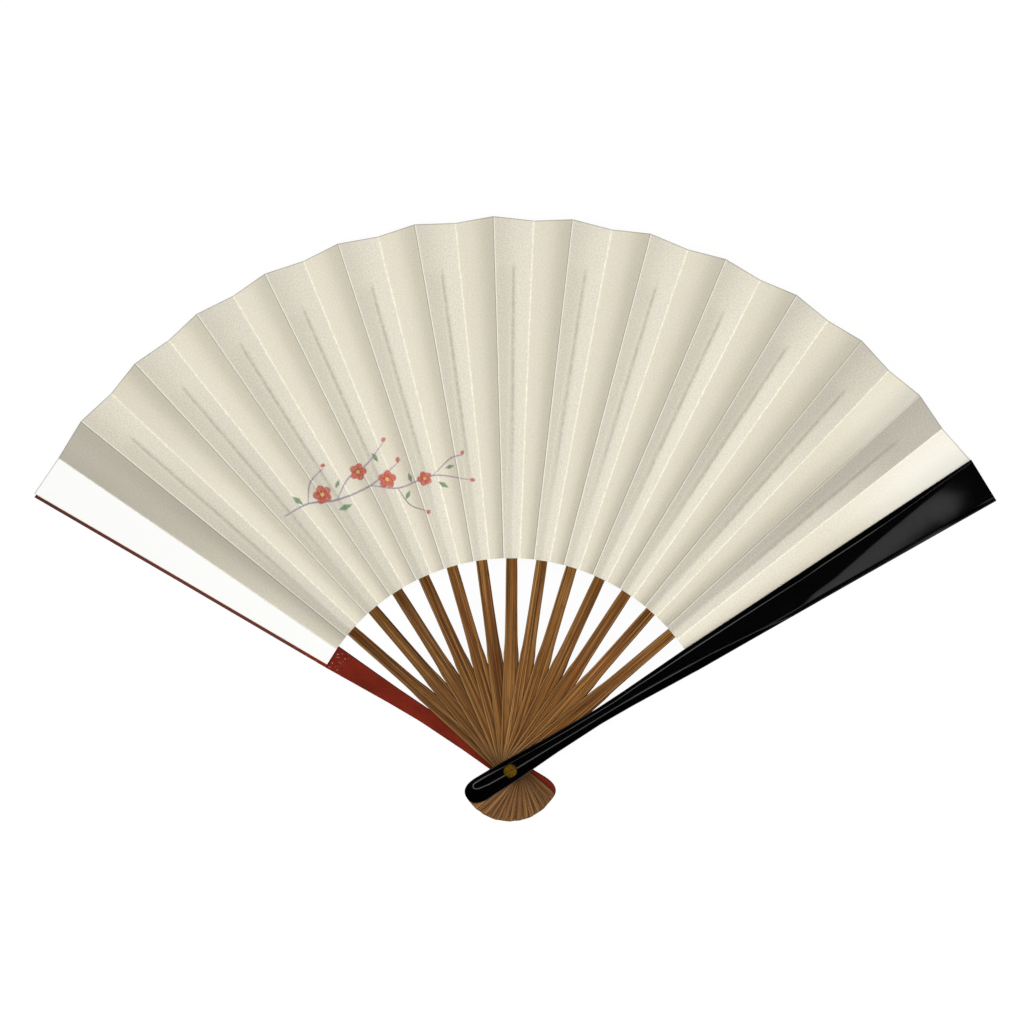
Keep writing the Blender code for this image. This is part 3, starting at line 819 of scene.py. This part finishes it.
def pleat_fields(width, share, along, panel_y, panel_shading):
    """The reach of each point and its fields: distances to the folds and the edge, how much painted
    shade marks the rib under it, how softly the panel's hollow turns, and its tone, a painted light
    and shade. Tones are given at the valley and at the peak, each at the three reaches, with straight
    lines between; over a rib, short of its tip, they change in a short step across the panel's
    middle. panel_y is the distance from the rib's line."""
    reach = LEAF_START + along[:, None] * LEAF_LENGTH + 0 * share
    past_tip = smooth(reach, *TIP_FADE)
    shade_on_rib = np.exp(-((panel_y / RIB_SHADE_HALF_WIDTH) ** 2)) * smooth(reach, *RIB_SHADE_REACH)
    has_rib = np.abs(panel_y).min() < MM
    sharp = has_rib * (1 - past_tip)
    near_valley, near_peak = (np.interp(reach, SHADING_REACHES, tone) for tone in panel_shading)
    crossing = share + (smooth(share, *SHADING_STEP) - share) * sharp
    return reach, {
        "to_peak": (1 - share) * width,
        "to_valley": share * width,
        "to_edge": (1 - along[:, None]) * LEAF_LENGTH + 0 * share,
        "shade_over_rib": shade_on_rib * (1 - past_tip),
        "softness": width * (SOFT_FOLD + (SHARP_FOLD - SOFT_FOLD) * sharp),
        "tone": near_valley + (near_peak - near_valley) * crossing,
    }


def sagging(share, width):
    """A parabola across the panel, deepest at its middle and deeper where the panel is wider."""
    return -4 * SAG * share * (1 - share) * (width / width.max()) ** 2


def sheet_points(valley, peak, share, normal, rises, levels):
    """One grid for each level: the straight surface between two creases, lifted along its normal
    by the level. At the creases the lift follows the two mitred rises instead."""
    across = valley[:, None] + share[..., None] * (peak - valley)[:, None]
    lift = np.repeat(normal[:, None], share.shape[1], 1)
    lift[:, 0], lift[:, -1] = rises
    return np.stack([across + lift * level[..., None] for level in levels])


def painted_points(points, painted):
    """A paint colour for each point, bare but for the front of a painted panel."""
    paint = np.zeros(points.shape[:-1] + (4,))
    if painted:
        paint[0] = spray(points[0])
    return paint


# %% Rib panels
def rib_columns(along, width, painted):
    """Shares across a rib panel, closer together over the rib and its pocket's ramps."""
    slip = along_table(LEAF_START + along * LEAF_LENGTH, RIB_WIDTHS)[:, None] / 2
    over = np.linspace(0, 1, SLIP_COLUMNS[painted])[None, :] * slip
    ramps = slip + np.array([POCKET_ROOM, POCKET_RAMP / 3, POCKET_RAMP * 2 / 3, POCKET_RAMP])[None, :]
    last = ramps[:, -1:]
    side = last + np.linspace(0, 1, SIDE_COLUMNS[painted])[None, 1:] * (width / 2 - last)
    half = np.concatenate([over[:, 1:], ramps, side], 1) / width
    return np.concatenate([0.5 - half[:, ::-1], np.full_like(width, 0.5), 0.5 + half], 1)


def make_rib_panel(rib):
    """Two sheets in four grids, whose columns run from the valley on the right to the peak on the
    left. Over a rib the sheets part by its thickness, with a smooth ramp at each side."""
    first, last = rib == 0, rib == LAST
    on_guard = first or last
    painted, along, valley, peak, width = panel_rows(rib, rib, last, first)
    share = rib_columns(along, width, painted)
    normal = np.broadcast_to(turns[rib][:, 2], valley.shape)
    rises = (
        normal if last else mitre(normal, free_normal(rib + 1, along)),
        normal if first else mitre(normal, free_normal(rib, along)),
    )
    across = (share - 0.5) * width
    panel_shading = RIB_PANEL_SHADING.get(rib, EVEN_SHADING)
    reach, fields = pleat_fields(width, share, along, across + FAR_FROM_RIBS * on_guard, panel_shading)
    inside = GLUE + 0 * across
    sag = 0 * across
    if not on_guard:
        slip = along_table(reach, RIB_WIDTHS) / 2
        thick = along_table(reach, RIB_THICKNESSES) / 2
        parted = 1 - smooth(np.abs(across), slip + POCKET_ROOM, slip + POCKET_RAMP)
        parted = parted * (1 - smooth(reach, RIB_TIP + TIP_ROWS[2], RIB_TIP + TIP_ROWS[-1]))
        inside = GLUE + (thick + POCKET_ROOM - GLUE) * parted
        sag = sagging(share, width)
    levels = [sag + inside + SHEET, sag + inside, sag - inside, sag - inside - SHEET]
    points = sheet_points(valley, peak, share, normal, rises, levels)
    fields["paint"] = painted_points(points, painted and not on_guard)
    flat = own_grain(reach, across, rib, PANEL_GRAIN_SHIFT)
    quads, _ = shell_faces(*share.shape)
    quads = np.concatenate([quads, quads + 2 * share.size])
    finish = end_paper if on_guard else rib_paper
    return make_piece(f"leaf_rib_panel_{rib:02}", points, quads, [finish], None, flat, fields)


for rib in range(RIBS + 2):
    panel = make_rib_panel(rib)
    body = {0: "rear_guard", LAST: "front_guard"}.get(rib, f"leaf_{rib:02}")
    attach(panel, body)
    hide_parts(f"leaf_panel_{rib:02}")
print(RIBS + 2, "rib panels, the last of", len(panel.data.polygons), "faces")

# %% [markdown]
# ## The free panels
# A free panel hangs between two ribs with nothing inside. When the fan shuts it folds over through
# its valley. A stiff plate on a hinge would open a slit there; here the panel's first millimetre
# next to the valley is divided finely.

# %% Free panels
FOLD_ZONE = 1.1 * MM
FOLD_COLUMNS = 10
FREE_COLUMNS = {False: 17, True: 37}


def make_free_panel(fold):
    """Columns run from the peak on the right to the valley on the left, which is where the first
    millimetre is divided finely. They are worked out from the valley and then turned round."""
    painted, along, valley, peak, width = panel_rows(fold - 1, fold)
    near = np.linspace(0, 1, FOLD_COLUMNS)[None, :] * FOLD_ZONE / width
    rest = np.linspace(0, 1, FREE_COLUMNS[painted])[None, 1:]
    share = np.concatenate([near, near[:, -1:] + rest * (1 - near[:, -1:])], 1)
    normal = free_normal(fold, along)
    rises = [mitre(normal, np.broadcast_to(turns[rib][:, 2], normal.shape)) for rib in (fold - 1, fold)]
    panel_shading = FREE_PANEL_SHADING.get(fold, EVEN_SHADING)
    reach, fields = pleat_fields(width, share, along, np.full_like(share, FAR_FROM_RIBS), panel_shading)
    sag = sagging(share, width)
    levels = [sag + side * (SHEET + GLUE) for side in (1, -1)]
    points = sheet_points(valley, peak, share, normal, rises, levels)
    fields = {field: values[:, ::-1] for field, values in fields.items()}
    fields["paint"] = painted_points(points, painted)[:, :, ::-1]
    flat = own_grain(reach, share * width, fold, PANEL_GRAIN_SHIFT, FREE_GRAIN_START)[:, ::-1]
    quads, _ = shell_faces(*share.shape)
    name = f"leaf_free_panel_{fold:02}"
    piece = make_piece(name, points[:, :, ::-1], quads, [free_paper], None, flat, fields)
    crease = unit(valley[-1] - valley[0])
    across = peak[len(along) // 2] - valley[len(along) // 2]
    across = unit(across - (across @ crease) * crease)
    return piece, valley[0], valley[0] + across * FOLD_ZONE


for fold in range(1, LAST + 1):
    panel, start, end = make_free_panel(fold)
    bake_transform(panel)
    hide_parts(f"leaf_fold_{fold:02}")
print(LAST, "free panels, the last of", len(panel.data.polygons), "faces")

# %% [markdown]
# ## Lacquer
# The guards are wood under many coats of black lacquer, polished like glass. Low roughness is most
# of it, and a faint waviness, left by brush and hand, keeps reflections from being ruler-straight.
# The inner face is brick red, and maroon under the leaf, where only its thin edge shows.

# %% The lacquer finishes
def black_lacquer():
    """Nearly black, with slow waves in its height and fine dust that dulls it in places."""
    made, tree, shader = new_finish("black_lacquer", Specular_IOR_Level=0.5)
    place = add(tree, "TexCoord").outputs["Object"]
    wave = stretched(place, 55, 55, 2)
    dust = stretched(place, 1500, 1500, 2, 4.0)
    colour = mix(ramp(wave, 0.3, 0.7), shade(2, 2, 2), shade(4, 3, 3))
    dress(shader, colour, ramp(dust, 0.62, 0.75, 0.09, 0.2), times(wave, 0.04 * MM))
    return made


def red_lacquer():
    """Cloudy red with dark flecks, pale ones just below the leaf, and maroon farther out."""
    made, tree, shader = new_finish("red_lacquer", Specular_IOR_Level=0.1)
    flat = flat_place(tree)
    reach = join("SeparateXYZ", {0: flat}).outputs[0]
    cloud = stretched(flat, 60, 140, 3)
    fleck = stretched(flat, 800, 1100, 2, 6.0)
    colour = mix(ramp(cloud, 0.3, 0.7), shade(101, 28, 13), shade(119, 36, 20))
    colour = stained(colour, (fleck, 0.62, 0.7, 0, 0.6, (60, 16, 10)))
    pale = times(ramp(fleck, 0.36, 0.32), ramp(reach, 93 * MM, 98 * MM))
    colour = stained(
        mix(pale, colour, shade(205, 150, 140)),
        (reach, 100 * MM, 130 * MM, 0, 1, (100, 52, 45)),
        (reach, 180 * MM, 260 * MM, 0, 1, (84, 46, 42)),
    )
    dress(shader, colour, ramp(cloud, 0.3, 0.7, 0.42, 0.58), times(cloud, 0.03 * MM))
    return made


lacquers = [black_lacquer(), red_lacquer()]
print(len(lacquers), "lacquers")

# %% [markdown]
# ## The guards
# A guard is the stout outer stick: round at the tail, drawn in to a waist for the fingers, and
# widening all along the leaf. Its outer face is carved: a flat land ends in a U round the pin, and
# the wood slopes away from it on both sides, so soft ridges catch the light as thin lines. Towards
# the tip a shallow facet rises slantwise and mirrors a soft glow as a grey wedge. The face is a sum
# of such slopes, each a function of the distance beyond its ridge; edges and bevels modelled by
# hand would be far stiffer. Both guards are one shape, and the rear one is turned over.

# %% Sizes of the guards
GUARD_THICKNESS = 3.0 * MM
GUARD_RELIEF = 0.8 * MM
RELIEF_ENDS = (100.7 * MM, 101.0 * MM)
LAND_TOPS = {
    **in_mm({
        -19: 3.8, -12: 3.8, 0: 3.2, 24: 2.4, 36: 2.1, 60: 2.0, 72: 2.8, 84: 3.0, 96: 3.55, 110: 4.0,
        144: 4.75, 168: 5.1, 180: 5.75, 204: 6.45, 216: 7.0,
    }),
    PEAK_RADIUS: 10.4 * MM,
}
LAND_LOWS = {
    **in_mm({
        -19: 1.0, -15.5: 0.3, -12: -0.2, 0: -0.65, 60: -0.65, 72: -0.9, 84: -1.25, 96: -1.8,
        110: -2.5, 135: -4.8, 160: -8.5,
    }),
    PEAK_RADIUS: -14 * MM,
}
LAND_END = -19.2 * MM
LAND_END_ROUNDING = 1.5 * MM
LAND_SLOPE = 0.38
TOP_SOFTNESS = in_mm({
    -14: 0.7, -8: 0.45, 0: 0.09, 14: 0.07, 26: 0.25, 60: 0.3, 84: 0.42, 96: 0.48, 110: 0.6,
    144: 0.4, 168: 0.18, 180: 0.42, 204: 0.45, 214: 0.18, 225: 0.07,
})
LOW_SOFTNESS = in_mm({-14: 0.7, 12: 0.6, 30: 0.4, 60: 0.4, 72: 0.62, 96: 0.55, 108: 0.2, 118: 0.07})
FACET_TOPS = in_mm({150: -7.5, 168: -3.7, 180: -2.8, 204: 1.3, 216: 3.1, 240: 6.4, 258: 8.8})
FACET_SLOPE = 0.03
FACET_BEND = 3.5
FACET_SOFTNESS = 0.3 * MM
FACET_START = (150 * MM, 170 * MM)
FACET_FADE = (234 * MM, 262 * MM)
BORDER_WIDTH = 2.1 * MM
BORDER_SLOPE = 0.085
BORDER_START = (118 * MM, 140 * MM)
THINNEST_WALL = 0.5 * MM
REAR_TIP_RADIUS = 263.3 * MM
CORNER = 0.45 * MM
INNER_CORNER = 0.12 * MM
GUARD_STEP = 2 * MM
PIN_STEP = 0.5 * MM
PIN_ZONE_END = 10 * MM
GUARD_TAIL_STEPS = 30
GUARD_COLUMNS = 121
RED_SHARE = 0.93
GUARD_SHARP_ANGLE = 50
print("a guard tapers from", GUARD_TAIL_WIDTH / MM, "to", min(GUARD_WIDTHS.values()) / MM, "mm at its waist")


# %% One guard shape, used twice
def slope_beyond(distance, slope, softness):
    """The drop of a face that is level before its ridge and falls with this slope beyond it. The
    face bends down from one softness before the ridge, at first quickly and then ever slower: the
    missing part of the slope dies away as an exponential."""
    past = np.maximum(distance + softness, 0)
    return slope * (past - softness * (1 - np.exp(-past / softness)))


def beyond_land(x, y):
    """How far points lie outside the raised land, which has two side lines and a rounded end, and
    which points are on its upper side."""
    high, low = along_table(x, LAND_TOPS), along_table(x, LAND_LOWS)
    middle = (high + low) / 2
    sideways = np.abs(y - middle) - (high - low) / 2 + LAND_END_ROUNDING
    endways = LAND_END - x + LAND_END_ROUNDING
    outside = np.hypot(np.maximum(sideways, 0), np.maximum(endways, 0))
    inside = np.minimum(np.maximum(sideways, endways), 0)
    return outside + inside - LAND_END_ROUNDING, y > middle


def corner_drop(inset, radius):
    """How far a corner rounded by a quarter circle lies below its face, at a distance in from the
    side."""
    near = np.clip(1 - inset / radius, 0, 1)
    return radius * (1 - np.sqrt(np.maximum(1 - near * near, 0)))


def guard_shape(tip):
    """Points along and across a guard, the depth of its outer face below its crown, and the depth
    of its inner face. The outer depth is the sum of the land's, the facet's and the border's
    slopes and the corner's drop."""
    tail_x, tail_width = tail_stations(GUARD_TAIL_WIDTH, TAIL_ROUNDING, TAIL_SQUARENESS, GUARD_TAIL_STEPS)
    by_pin = np.linspace(tail_x[-1], PIN_ZONE_END, round((PIN_ZONE_END - tail_x[-1]) / PIN_STEP))[1:]
    beyond_pin = np.linspace(PIN_ZONE_END, tip, round((tip - PIN_ZONE_END) / GUARD_STEP))[1:]
    body_x = np.sort(np.concatenate([by_pin, beyond_pin, RELIEF_ENDS]))
    near = np.clip(body_x / tail_x[-1], 0, 1)
    body_width = along_table(body_x, GUARD_WIDTHS) + near * (GUARD_TAIL_WIDTH - GUARD_WIDTHS[0])
    x = np.concatenate([tail_x, body_x])[:, None]
    half = np.concatenate([tail_width, body_width])[:, None] / 2
    even = np.linspace(-1, 1, GUARD_COLUMNS)[None, :]
    y = (even + np.sin(even * math.pi / 2)) / 2 * half
    inset = half - np.abs(y)
    beyond, upper = beyond_land(x, y)
    softness = np.where(upper, along_table(x, TOP_SOFTNESS), along_table(x, LOW_SOFTNESS))
    outer = slope_beyond(beyond, LAND_SLOPE, softness)
    below = along_table(x, FACET_TOPS) - y
    facet = slope_beyond(below, FACET_SLOPE, FACET_SOFTNESS) + FACET_BEND / 2 * np.maximum(below, 0) ** 2
    outer = outer + facet * smooth(x, *FACET_START) * (1 - smooth(x, *FACET_FADE))
    border = slope_beyond(BORDER_WIDTH - half - y, BORDER_SLOPE, FACET_SOFTNESS)
    outer = outer + border * smooth(x, *BORDER_START) + corner_drop(inset, CORNER)
    outer = outer - outer[len(tail_x) :].min()
    inner = GUARD_THICKNESS - GUARD_RELIEF * smooth(x, *RELIEF_ENDS)
    inner = inner - corner_drop(inset, INNER_CORNER)
    return x + 0 * y, y, np.minimum(outer, inner - THINNEST_WALL), inner


def make_guard(name, rib, tip, turned_over):
    """The shape laid on top of the stack, or mirrored in y and z under it. The inner face is red,
    but for its rim on one side."""
    x, y, outer, inner = guard_shape(tip)
    if turned_over:
        faces = [np.stack([x, -y, depth], -1) for depth in (outer, inner)]
    else:
        faces = [np.stack([x, y, STACK_TOP - depth], -1) for depth in (outer, inner)]
    points = np.stack(faces) @ turn_matrix(angles[rib], 0).T
    quads, (front, _, rim) = shell_faces(*x.shape)
    share = np.abs(y) / np.maximum(np.abs(y).max(1, keepdims=True), MM / 1000)
    inside = (share[:-1, :-1] < RED_SHARE) | (y[:-1, :-1] < 0)
    finish_of = np.concatenate([np.zeros(front), inside.ravel(), np.zeros(rim)])
    flat = np.stack([x, y], -1)
    return make_piece(name, points, quads, lacquers, finish_of, flat, sharp=GUARD_SHARP_ANGLE)


HEAD_LOW, HEAD_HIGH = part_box("pin_cap_front")
HEAD_RADIUS = (HEAD_HIGH.x - HEAD_LOW.x) / 2
HEAD_THICKNESS = HEAD_HIGH.z - HEAD_LOW.z
front_guard = make_guard("guard_of_black_lacquer_front", LAST, PEAK_RADIUS, False)
rear_guard = make_guard("guard_of_black_lacquer_rear", 0, REAR_TIP_RADIUS, True)
seat = HEAD_RADIUS + PIN_CLEARANCE
seat_depth = HEAD_THICKNESS + PIN_CLEARANCE
seat_floor = STACK_TOP - HEAD_THICKNESS - PIN_CLEARANCE
below_guard = seat_floor - GUARD_THICKNESS
above_guard = GUARD_THICKNESS + OVERRUN / 4
drill([front_guard], [
    (0, below_guard), (BORE, below_guard), (BORE, seat_floor),
    (seat, seat_floor), (seat, STACK_TOP + OVERRUN), (0, STACK_TOP + OVERRUN),
])
drill([rear_guard], [
    (0, -OVERRUN), (seat, -OVERRUN), (seat, seat_depth),
    (BORE, seat_depth), (BORE, above_guard), (0, above_guard),
])
for guard, body in ((front_guard, "front_guard"), (rear_guard, "rear_guard")):
    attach(guard, body)
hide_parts("guard_front")
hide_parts("guard_rear")
print("two guards of", len(front_guard.data.polygons), "faces")

# %% [markdown]
# ## The pin
# One brass pin holds everything. Its ends are small round heads, hammered slightly domed and gone
# dull and olive with age, with dark specks. A turned profile gives the dome and the soft rim; a
# plain cylinder would look like a coin.

# %% The brass finish and the pin
def aged_brass():
    """Olive clouds with dark specks, rougher where they are pale."""
    made, tree, shader = new_finish("aged_brass", Metallic=0.3, Specular_IOR_Level=0.1)
    place = add(tree, "TexCoord").outputs["Object"]
    cloud = stretched(place, 700, 700, 3)
    speck = stretched(place, 2600, 2600, 2, 3.0)
    colour = mix(ramp(cloud, 0.35, 0.65), shade(70, 52, 1), shade(110, 82, 8))
    colour = stained(colour, (speck, 0.52, 0.66, 0, 0.8, (44, 33, 2)))
    dress(shader, colour, ramp(cloud, 0.3, 0.7, 0.42, 0.65), times(cloud, 0.06 * MM))
    return made


brass = aged_brass()
DOME = 0.3 * MM
RIM = 0.25 * MM
RIM_STEPS = 5
DOME_STEPS = 10


def head_profile(base, side):
    """A domed head as (radius, height), from its edge at the base over the soft rim, a quarter
    circle, to the axis, on a parabola. side is +1 for a head that looks up."""
    bend = np.linspace(0, math.pi / 2, RIM_STEPS)
    crown = np.linspace(1, 0, DOME_STEPS)[1:]
    edge = HEAD_RADIUS - RIM
    rim_top = base + side * (HEAD_THICKNESS - DOME + RIM)
    rim = [(edge + RIM * math.cos(b), rim_top - side * RIM * (1 - math.sin(b))) for b in bend]
    top = [(edge * share, rim_top + side * (DOME * (1 - share * share))) for share in crown]
    return [(HEAD_RADIUS, base)] + rim + top


def make_pin():
    """The front head, and the shaft with the rear head, each one turned shape."""
    base = HEAD_LOW.z
    front = revolve("pin_head_front", [(0, base)] + head_profile(base, 1), [brass])
    rear = head_profile(HEAD_THICKNESS, -1)[::-1]
    low = min(height for _, height in rear)
    rear = [(radius, height - low) for radius, height in rear]
    shaft, shaft_top = PIN_DIAMETER / 2, base - PIN_CLEARANCE
    rear += [(shaft, rear[-1][1]), (shaft, shaft_top), (0, shaft_top)]
    return front, revolve("pin_shaft_and_rear_head", rear, [brass])


for piece, node in zip(make_pin(), ("pin_cap_front", "pivot_pin")):
    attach(piece, "rear_guard")
    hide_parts(node)
print("the pin's heads are", round(2 * HEAD_RADIUS / MM, 1), "mm across")

# %% [markdown]
# ## Floor, light and camera
# The fan lies face up and is photographed from straight above, cut out on white. One broad soft
# lamp overhead lights both sides of every pleat alike. It is hidden from reflections, because black
# lacquer would mirror it as a broad glare. What the lacquer mirrors is painted into the world: a
# ring of light round the zenith, which every ridge catches as a thin line, and a small soft glow
# for the facet. Strip lamps would light ridges of one direction only.

# %% The white floor
FLOOR_SIZE = 40.0
FLOOR_GREY = 0.8
FLOOR_SHADOWED = 0.1
FLOOR_GLOW = 0.93
floor_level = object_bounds()[0].z


def seen_rays(tree):
    """1 on rays that make the picture, from the camera, a mirror or glass, and 0 on the others."""
    path = add(tree, "LightPath").outputs
    seen = calc("MAXIMUM", path["Is Camera Ray"], path["Is Glossy Ray"])
    return calc("MAXIMUM", seen, path["Is Transmission Ray"])


def white_floor():
    """White to the camera and in reflections, with the shadow kept by a share of plain diffuse."""
    made, tree, _ = new_finish("white_floor")
    tree.nodes.clear()
    plain = add(tree, "BsdfDiffuse", {"Color": (FLOOR_GREY,) * 3 + (1,)})
    shadowed = add(tree, "BsdfDiffuse", {"Color": (FLOOR_SHADOWED,) * 3 + (1,)})
    glow = add(tree, "Emission", {"Color": (1, 1, 1, 1), "Strength": FLOOR_GLOW})
    white = join("AddShader", {0: shadowed.outputs[0], 1: glow.outputs[0]})
    out = join("MixShader", {0: seen_rays(tree), 1: plain.outputs[0], 2: white.outputs[0]})
    join("OutputMaterial", {"Surface": out.outputs[0]})
    return made


edge = FLOOR_SIZE / 2
corners = [(x, y, floor_level) for x, y in ((-edge, -edge), (edge, -edge), (edge, edge), (-edge, edge))]
floor = make_piece("floor", np.array(corners), np.array([[0, 1, 2, 3]]), [white_floor()])
print("floor at", round(floor_level / MM, 2), "mm")

# %% The lamp
LAMP_HEIGHT = 1.9
LAMP_SIZE = (1.6 * LAMP_HEIGHT, 1.4 * LAMP_HEIGHT)
LAMP_RADIANCE = 2.0
LAMP_SHIFT = -0.05 * LAMP_HEIGHT
lamp_data = bpy.data.lights.new("overhead", "AREA")
lamp_data.shape = "RECTANGLE"
lamp_data.size, lamp_data.size_y = LAMP_SIZE
lamp_data.energy = LAMP_RADIANCE * math.pi * LAMP_SIZE[0] * LAMP_SIZE[1]
lamp = place_in_scene("overhead", lamp_data)
lamp.location = (0, LAMP_SHIFT, LAMP_HEIGHT)
lamp.visible_glossy = False
print("one lamp of", [round(side, 2) for side in LAMP_SIZE], "m")

# %% The world
ALL_ROUND = 0.16
RING_STRENGTH = 2.3
RING_NEAR, RING_FAR = 0.4, 0.6
RING_EDGE = 0.03
GLOW_STRENGTH = 1.0
GLOW_DIRECTION = unit(np.array([0.092, -0.08, 1.0])).tolist()
GLOW_NEAR, GLOW_FAR = 0.012, 0.07
WALL_TOP = (0.1, 0.3)


def rise(slope):
    """The z of a direction that leans from the zenith by this slope."""
    return 1 / math.hypot(1, slope)


world = bpy.data.worlds.new("studio")
bpy.context.scene.world = world
world.use_nodes = True
sky = world.node_tree
sky.nodes.clear()
direction = add(sky, "TexCoord").outputs["Generated"]
height = join("SeparateXYZ", {0: direction}).outputs[2]
wall = ramp(height, *WALL_TOP, 1.0, 0.0)
outside = ramp(height, rise(RING_FAR + RING_EDGE), rise(RING_FAR))
inside = ramp(height, rise(RING_NEAR - RING_EDGE), rise(RING_NEAR))
ring = times(times(outside, inside), RING_STRENGTH)
toward = join("VectorMath", {0: direction, 1: GLOW_DIRECTION}, operation="DOT_PRODUCT").outputs["Value"]
glow = ramp(toward, math.cos(GLOW_FAR), math.cos(GLOW_NEAR), 0.0, GLOW_STRENGTH)
mirrored = plus(plus(wall, ring), glow)
strength = join("Mix", {0: seen_rays(sky), 2: ALL_ROUND, 3: mirrored}, data_type="FLOAT").outputs[0]
background = join("Background", {"Color": (1, 1, 1, 1), "Strength": strength})
join("OutputWorld", {"Surface": background.outputs[0]})
bpy.context.scene.view_settings.view_transform = "Standard"
print("the world has", len(sky.nodes), "nodes")

# %% The camera
CAMERA_DISTANCE = 4.0
VIEW_WIDTH = 0.4925
VIEW_CENTRE = (0.0, 123.7 * MM)
CAMERA_ROLL = math.radians(0.35)
camera_data = bpy.data.cameras.new("camera")
camera_data.lens = camera_data.sensor_width * CAMERA_DISTANCE / VIEW_WIDTH
camera = place_in_scene("camera", camera_data)
camera.location = (*VIEW_CENTRE, CAMERA_DISTANCE)
camera.rotation_euler = (0, 0, CAMERA_ROLL)
bpy.context.scene.camera = camera
print("lens", round(camera_data.lens), "mm")
